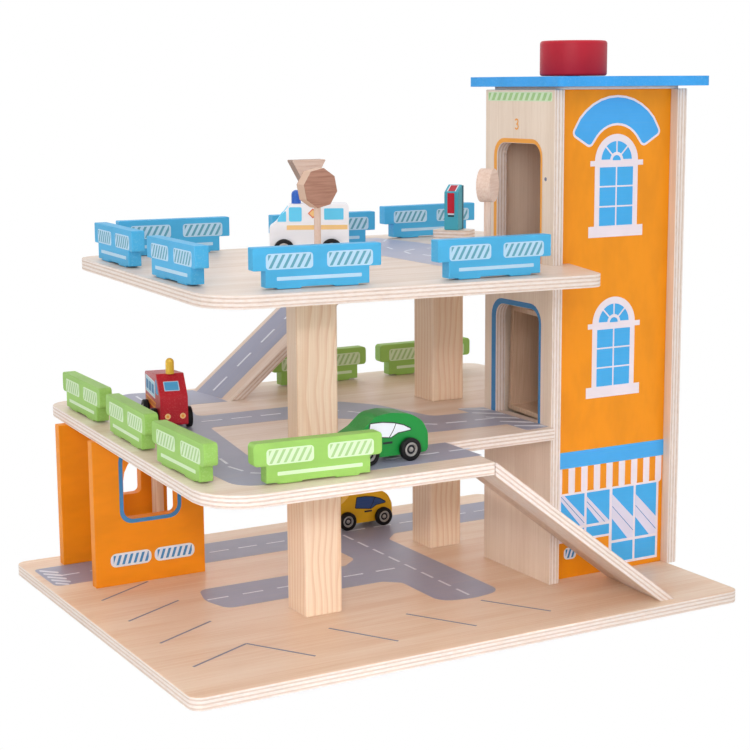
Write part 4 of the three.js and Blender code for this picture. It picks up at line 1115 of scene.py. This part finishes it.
class BuildPrints(bpy.types.Operator):
    """Prints the roads, parking lines, doorway outlines, windows and hatch stickers"""
    bl_idname = "garage.build_prints"
    bl_label = "Prints"

    def execute(self, context):
        self.settings = context.scene.garage_prints
        for name, (level, key, outline) in ROADS.items():
            sheet = self.sheet(name, floor_plane(level))
            sheet.add(key, rounded(outline, 6))
            sheet.finish()
        for name, (level, lines) in DASHES.items():
            self.dash_lines(name, floor_plane(level), lines)
        self.crossings()
        self.parking_lines()
        self.ramp_prints()
        self.wall_prints()
        self.doorways()
        self.front_panel()
        return {"FINISHED"}

    def sheet(self, name, plane):
        return Sheet(name, plane, BODY, self.settings.film)

    def dash_lines(self, name, plane, lines, wider=1.0, gap=0.0):
        values = self.settings
        dashes(name, plane, lines, values.dash_length, values.dash_gap + gap, values.dash_width * wider,
               values.film * 1.5)

    def crossings(self):
        sheet = self.sheet("base_crossing", floor_plane(BASE_TOP))
        left, width, lean = 8.4, 5.0, 1.02
        for y, right in ((282.0, 16.9), (291.6, 20.4), (301.2, 20.4), (310.8, 20.4), (320.4, 20.4)):
            low = y - (right - left) * lean
            stripe = [(left, y, 1.2), (right, low, 1.8), (right, low + width, 1.8), (left, y + width, 1.2)]
            sheet.add("white_ink", rounded(stripe, 3), 1.2)
        sheet.finish()
        sheet = self.sheet("middle_deck_crossing", floor_plane(MIDDLE_TOP))
        sheet.add("road", rounded([(312, 86, 3), (333.4, 88, 0), (333.4, 178, 0), (312, 185, 3)], 4))
        for step in range(5):
            y = 181.0 - 19.6 * step
            low = max(y - 18.0, 89.0)
            stripe = [(313.0, y, 1.0), (332.5, low, 0.6), (332.5, low + 6.5, 0.6), (313.0, y + 3.0, 1.0)]
            sheet.add("white_ink", rounded(stripe, 3), 1.2)
        sheet.finish()

    def parking_lines(self):
        sheet = self.sheet("parking_lines", floor_plane(BASE_TOP))
        lines = (((24, 224), (72, 252)), ((23, 167.5), (73.4, 195)), ((24, 111), (74, 137.5)),
                 ((24.5, 55.4), (75, 80)), ((75, 80), (104, 33)), ((139.4, 80), (167.6, 31)),
                 ((203, 80), (232, 31)), ((267.5, 79.4), (297, 31.7)))
        for start, end in lines:
            sheet.line("line_grey", start, end, 1.8)
        sheet.finish()

    def ramp_prints(self):
        """The upper ramp's road, its edges left bare, with dashes down the middle."""
        flat = -heading(UPPER_RAMP_YAW)
        rise = UPPER_TOP - MIDDLE_TOP
        length = math.hypot(rise, UPPER_RAMP_RUN)
        head = row(336.0, 329.4, UPPER_TOP) + flat.cross(UP) * (30.5 * MM)
        plane = Plane(head, ramp_ways(flat, rise, UPPER_RAMP_RUN)[0], UP.cross(flat))
        low, high = -24.5, 15.5
        sheet = self.sheet("upper_ramp_road", plane)
        sheet.box("road", 1.0, low, length, high)
        sheet.finish()
        middle = (low + high) / 2
        self.dash_lines("upper_ramp_dashes", plane, [[(length - 14.0, middle), (10.0, middle)]], 1.3, 2.0)

    def wall_prints(self):
        """Outlined window and two hatch stickers on the front face of the front orange wall."""
        low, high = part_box("front_wall")
        plane = Plane(Vector((row(0, 0, 0).x, low.y, 0)), (1, 0, 0), UP)
        sheet = self.sheet("front_wall_print", plane)
        rings = [box_points(55.4 - reach, 60.5 - reach, 99.0 + reach, 112.0 + reach, radius, 6)
                 for reach, radius in ((0.5, 8.0), (3.6, 10.0))]
        sheet.band("slate_blue_ink", *(ring + ring[:1] for ring in rings))
        for left in (43.0, 79.2):
            sheet.box("white_ink", left, 23.6, left + 33.5, 34.4, 0, 4.6)
            sheet.bars("slate_blue_ink", left + 2.4, 25.2, left + 31.2, 32.8, 4.7, 0.46, 0.35, 1)
        sheet.finish()

    def doorways(self):
        """Doorway outlines, strip, digit and dot on the tower's left panel, where u is minus design Y."""
        sheet = self.sheet("tower_left_print", Plane(row(TOWER_LEFT, 0, 0), (0, -1, 0), UP))
        back, front, radius, inner, lift = -159.8, -102.3, 10.0, 0.4, 0.2
        outlines = (("slate_blue_ink", MIDDLE_TOP, 219.0, (6.3, 4.4, 3.2)),
                    ("orange_ink", UPPER_TOP, 343.5, (4.2, 3.6, 2.6)))
        for key, level, head, (past_back, past_head, past_front) in outlines:
            floor = level + lift
            near = open_arch(back - inner, front + inner, floor, head + inner, radius + inner)
            far = open_arch(back - past_back, front + past_front, floor, head + past_head, radius + past_head)
            sheet.band(key, near, far)
        sheet.box("pale_green_ink", -172.5, 375.0, -88.0, 381.8, 0, 1.0)
        sheet.bars("green_ink", -171.7, 375.6, -88.8, 381.2, 7.4, 0.5, 0.6, 1)
        digit = ((-2.9, 3.1), (-1.2, 3.9), (0.9, 3.7), (2.0, 2.3), (1.2, 0.8), (-0.7, 0.2), (1.6, -0.4),
                 (2.4, -2.0), (1.2, -3.6), (-1.0, -3.9), (-2.9, -2.9))
        sheet.add("orange_ink", stroke([(-133.4 + 0.8 * u, 357.8 + 0.95 * v) for u, v in digit], 1.2))
        sheet.disc("line_grey", (-95.3, 318.1), 1.5, 0, 14)
        sheet.finish()

    def front_panel(self):
        """The tower's front: sign plate, two arched windows, band, awning and shop windows."""
        sheet = self.sheet("tower_front_print", Plane(row(0, PANEL_FACE, 0), (1, 0, 0), UP))
        sign_plate(sheet, (396.85, 332.9))
        for spring in (329.9, 206.3):
            arched_window(sheet, 396.9, spring)
        sheet.box("sky_ink", 342.6, 96.4, 448.4, 109.2)
        awning(sheet)
        shop_windows(sheet)
        sheet.box("white_ink", 352.6, 24.0, 364.2, 33.4, 0, 3.4)
        sheet.bars("slate_blue_ink", 354.2, 25.2, 362.6, 32.2, 3.8, 0.5, 0.35, 1)
        sheet.finish()


def open_arch(left, right, floor, head, radius, steps=6):
    """The line up one side of a doorway, round its head and down the other side."""
    level = head - radius
    corners = (arc((left + radius, level), radius, 180.0, 90.0, steps)
               + arc((right - radius, level), radius, 90.0, 0.0, steps))
    return [(left, floor), *corners, (right, floor)]


def sign_plate(sheet, centre):
    """A bare blue banner bent over the upper window, with rounded ends and a white border."""
    def end(radius, degrees):
        return *arc(centre, radius, degrees, degrees, 1)[0], 4.5

    outer, inner = 46.2, 23.7
    outline = [*arc(centre, outer, 40.0, 140.0, 10), end(outer, 158.0), end(inner + 1.8, 165.0),
               *arc(centre, inner, 140.0, 40.0, 10), end(inner + 1.8, 15.0), end(outer, 22.0)]
    border = rounded(outline)
    sheet.add("window_white", border)
    sheet.add("sky_ink", grown(border, -1.7), 1)


def arched_window(sheet, centre, spring):
    """A window with a fan light, a bar with ears at its spring line, six panes and a sill."""
    sheet.add("window_white", arch(centre - 20.3, centre + 20.3, spring - 49.0, spring, 24))
    sheet.box("window_white", centre - 24.6, spring - 3.5, centre + 25.2, spring + 0.5, 0.4)
    sheet.box("window_white", centre - 25.6, spring - 57.2, centre + 25.8, spring - 48.8, 0.4)
    hub = (centre, spring + 0.6)
    sheet.disc("window_blue", hub, 3.8, 1, 14, 180.0)
    for first in (0.0, 45.0, 90.0, 135.0):
        wedge = arc(hub, 15.0, first, first + 45.0, 6) + arc(hub, 5.6, first + 45.0, first, 6)
        sheet.add("window_blue", grown(wedge, -0.65), 1)
    for column in (centre - 15.7, centre + 0.7):
        for level in range(3):
            low = spring - 48.6 + 15.1 * level
            sheet.box("window_blue", column, low, column + 15.0, low + 13.9, 1)


def awning(sheet):
    """White stripes with rounded ends hanging from the band."""
    width, top, low = 6.1, 96.3, 78.2
    for index in range(9):
        left = 343.9 + 12.1 * index
        end = arc((left + width / 2, low), width / 2, 180.0, 360.0, 8)[1:-1]
        right = left + width
        sheet.add("window_white", [(right, top), (left, top), (left, low), *end, (right, low)], 0.7)


def shop_windows(sheet):
    """Four columns of panes in a stepped frame, each upper pane crossed by a pale slanted reflection."""
    outline = [(347.0, 37.6), (395.8, 37.6), (395.8, 13.1), (444.4, 13.1), (444.4, 76.6), (347.0, 76.6)]
    sheet.add("window_white", outline)
    columns = ((349.3, 371.5, 49.6, 39.4, 47.4, 78.0, 71.0), (373.8, 395.8, 49.6, 39.4, 47.4, 72.0, 63.9),
               (398.6, 419.4, 33.2, 15.2, 31.0, 70.5, 51.0), (421.6, 442.2, 33.2, 15.2, 31.0, 67.8, 49.4))
    for left, right, low, foot, foot_top, upper, lower in columns:
        sheet.box("window_blue", left, low, right, 75.0, 1)
        sheet.box("window_blue", left, foot, right, foot_top, 1)
        top = min(upper, 75.0)
        start = left + (upper - top)
        reach = min((lower - low) / 1.15, right - left)
        fall = upper - (right - left)
        shine = [(start, top), (right, fall), (right, low), (left + reach, low), (left, lower)]
        if start > left:
            shine.append((left, top))
        sheet.add("lilac_ink", shine, 2)
        middle = (upper + lower) / 2
        run = min(right - left, (middle - low) / 1.05)
        if run > 2.0:
            sheet.line("slate_blue_ink", (left, middle), (left + run, middle - run * 1.05), 0.5, 3)


class BuildStage(bpy.types.Operator):
    """Sets the pale floor, white surround, soft lamps and the camera"""
    bl_idname = "garage.build_stage"
    bl_label = "Stage"

    def execute(self, context):
        settings = context.scene.garage_stage
        self.surround(context, settings)
        self.floor()
        self.lamp("key lamp", (-1.3, -1.5, 1.1), 1.6, settings.key_power)
        self.lamp("fill lamp", (1.3, -1.6, 0.6), 1.8, settings.fill_power)
        self.lamp("low lamp", (-0.9, -1.7, 0.75), 0.3, settings.low_power, (-0.03, -0.08, 0.0), 14.0)
        self.lamp("back lamp", (0.5, 1.9, 0.9), 1.6, settings.back_power, (0.0, 0.0, 0.08), glossy=False)
        self.lamp("top lamp", (0.1, 0.2, 2.2), 2.2, settings.top_power)
        self.camera(context, settings.lens)
        return {"FINISHED"}

    def surround(self, context, settings):
        """White for the camera; as a light a pale tent, brightest near the horizon."""
        world = bpy.data.worlds.new("white surround")
        context.scene.world = world
        world.use_nodes = True
        tree = world.node_tree
        tree.nodes.clear()
        seen = ray_is(tree, "Camera", "Transmission", "Glossy")
        way = add_node(tree, "ShaderNodeTexCoord").outputs["Generated"]
        rise = math_node(tree, "ABSOLUTE", split(tree, way)["Z"])
        tent = smooth_range(tree, rise, 0.05, 0.7, settings.horizon, settings.zenith)
        dim = add_node(tree, "ShaderNodeBackground", {"Color": "FFFFFF", "Strength": tent})
        white = add_node(tree, "ShaderNodeBackground", {"Color": "FFFFFF", "Strength": 1.0})
        mixed = add_node(tree, "ShaderNodeMixShader", {0: seen, 1: dim.outputs[0], 2: white.outputs[0]})
        add_node(tree, "ShaderNodeOutputWorld", {"Surface": mixed.outputs[0]})
        context.scene.view_settings.view_transform = "Standard"

    def floor(self):
        """A large pale floor that rises into a backdrop behind the toy."""
        front, back, sweep, height, half = -4.0, 2.2, 1.0, 4.0, 5.0
        bend = arc((back, sweep), sweep, -90.0, 0.0, 12)[1:]
        outline = [(front, 0.0), (back, 0.0), *bend, (back + sweep, height)]
        away = Vector((math.sin(VIEW_YAW), math.cos(VIEW_YAW), 0))
        edges = (away.cross(UP) * -half, away.cross(UP) * half)
        points = [away * reach + edge + UP * rise for reach, rise in outline for edge in edges]
        faces = [(2 * i, 2 * i + 1, 2 * i + 3, 2 * i + 2) for i in range(len(outline) - 1)]
        mesh = bpy.data.meshes.new("studio floor")
        mesh.from_pydata(points, [], faces)
        mesh.polygons.foreach_set("use_smooth", [True] * len(faces))
        mesh.materials.append(look("white_card"))
        floor = place_object("studio floor", mesh)

    def lamp(self, name, spot, size, power, target=(0.0, 0.0, 0.18), spread=180.0, glossy=True):
        data = bpy.data.lights.new(name, "AREA")
        data.shape = "SQUARE"
        data.size = size
        data.energy = power
        data.spread = math.radians(spread)
        lamp = place_object(name, data)
        lamp.location = spot
        lamp.visible_camera = False
        lamp.visible_glossy = glossy
        lamp.rotation_euler = (Vector(target) - Vector(spot)).to_track_quat("-Z", "Y").to_euler()

    def camera(self, context, lens):
        data = bpy.data.cameras.new("camera")
        data.sensor_width = 36.0
        data.lens = lens
        camera = place_object("camera", data)
        camera.location = (-0.6188, -1.1057, 0.3890)
        level = math.cos(VIEW_PITCH)
        forward = Vector((math.sin(VIEW_YAW) * level, math.cos(VIEW_YAW) * level, -math.sin(VIEW_PITCH)))
        turn = forward.to_track_quat("-Z", "Y").to_matrix() @ Matrix.Rotation(VIEW_ROLL, 3, "Z")
        camera.rotation_euler = turn.to_euler()
        context.scene.camera = camera


class GaragePanel(bpy.types.Panel):
    """Sidebar panel with the garage's settings and build steps"""
    bl_idname = "VIEW3D_PT_toy_parking_garage"
    bl_label = "Toy Parking Garage"
    bl_space_type = "VIEW_3D"
    bl_region_type = "UI"
    bl_category = "Garage"

    def draw(self, context):
        scene = context.scene
        groups = (scene.garage_boards, scene.garage_prints, scene.garage_barriers, scene.garage_vehicles,
                  scene.garage_stage)
        for group in groups:
            box = self.layout.box()
            for key in group.bl_rna.properties.keys():
                if key not in ("rna_type", "name"):
                    box.prop(group, key)
        for operator in BUILDERS:
            self.layout.operator(operator.bl_idname)


SETTINGS = {
    "garage_boards": GarageBoardSettings, "garage_prints": GaragePrintSettings,
    "garage_barriers": GarageBarrierSettings, "garage_vehicles": GarageVehicleSettings,
    "garage_stage": GarageStageSettings,
}
BUILDERS = (BuildBoards, BuildTower, BuildLift, BuildBarriers, BuildSigns, BuildVehicles, BuildPrints,
            BuildStage)


def register():
    for name, group in SETTINGS.items():
        bpy.utils.register_class(group)
        setattr(bpy.types.Scene, name, bpy.props.PointerProperty(type=group))
    for item in (*BUILDERS, GaragePanel):
        bpy.utils.register_class(item)


def unregister():
    for item in reversed((*BUILDERS, GaragePanel)):
        bpy.utils.unregister_class(item)
    for name, group in SETTINGS.items():
        delattr(bpy.types.Scene, name)
        bpy.utils.unregister_class(group)


def main():
    register()
    for builder in BUILDERS:
        group, name = builder.bl_idname.split(".")
        getattr(getattr(bpy.ops, group), name)()


if __name__ == "__main__":
    main()
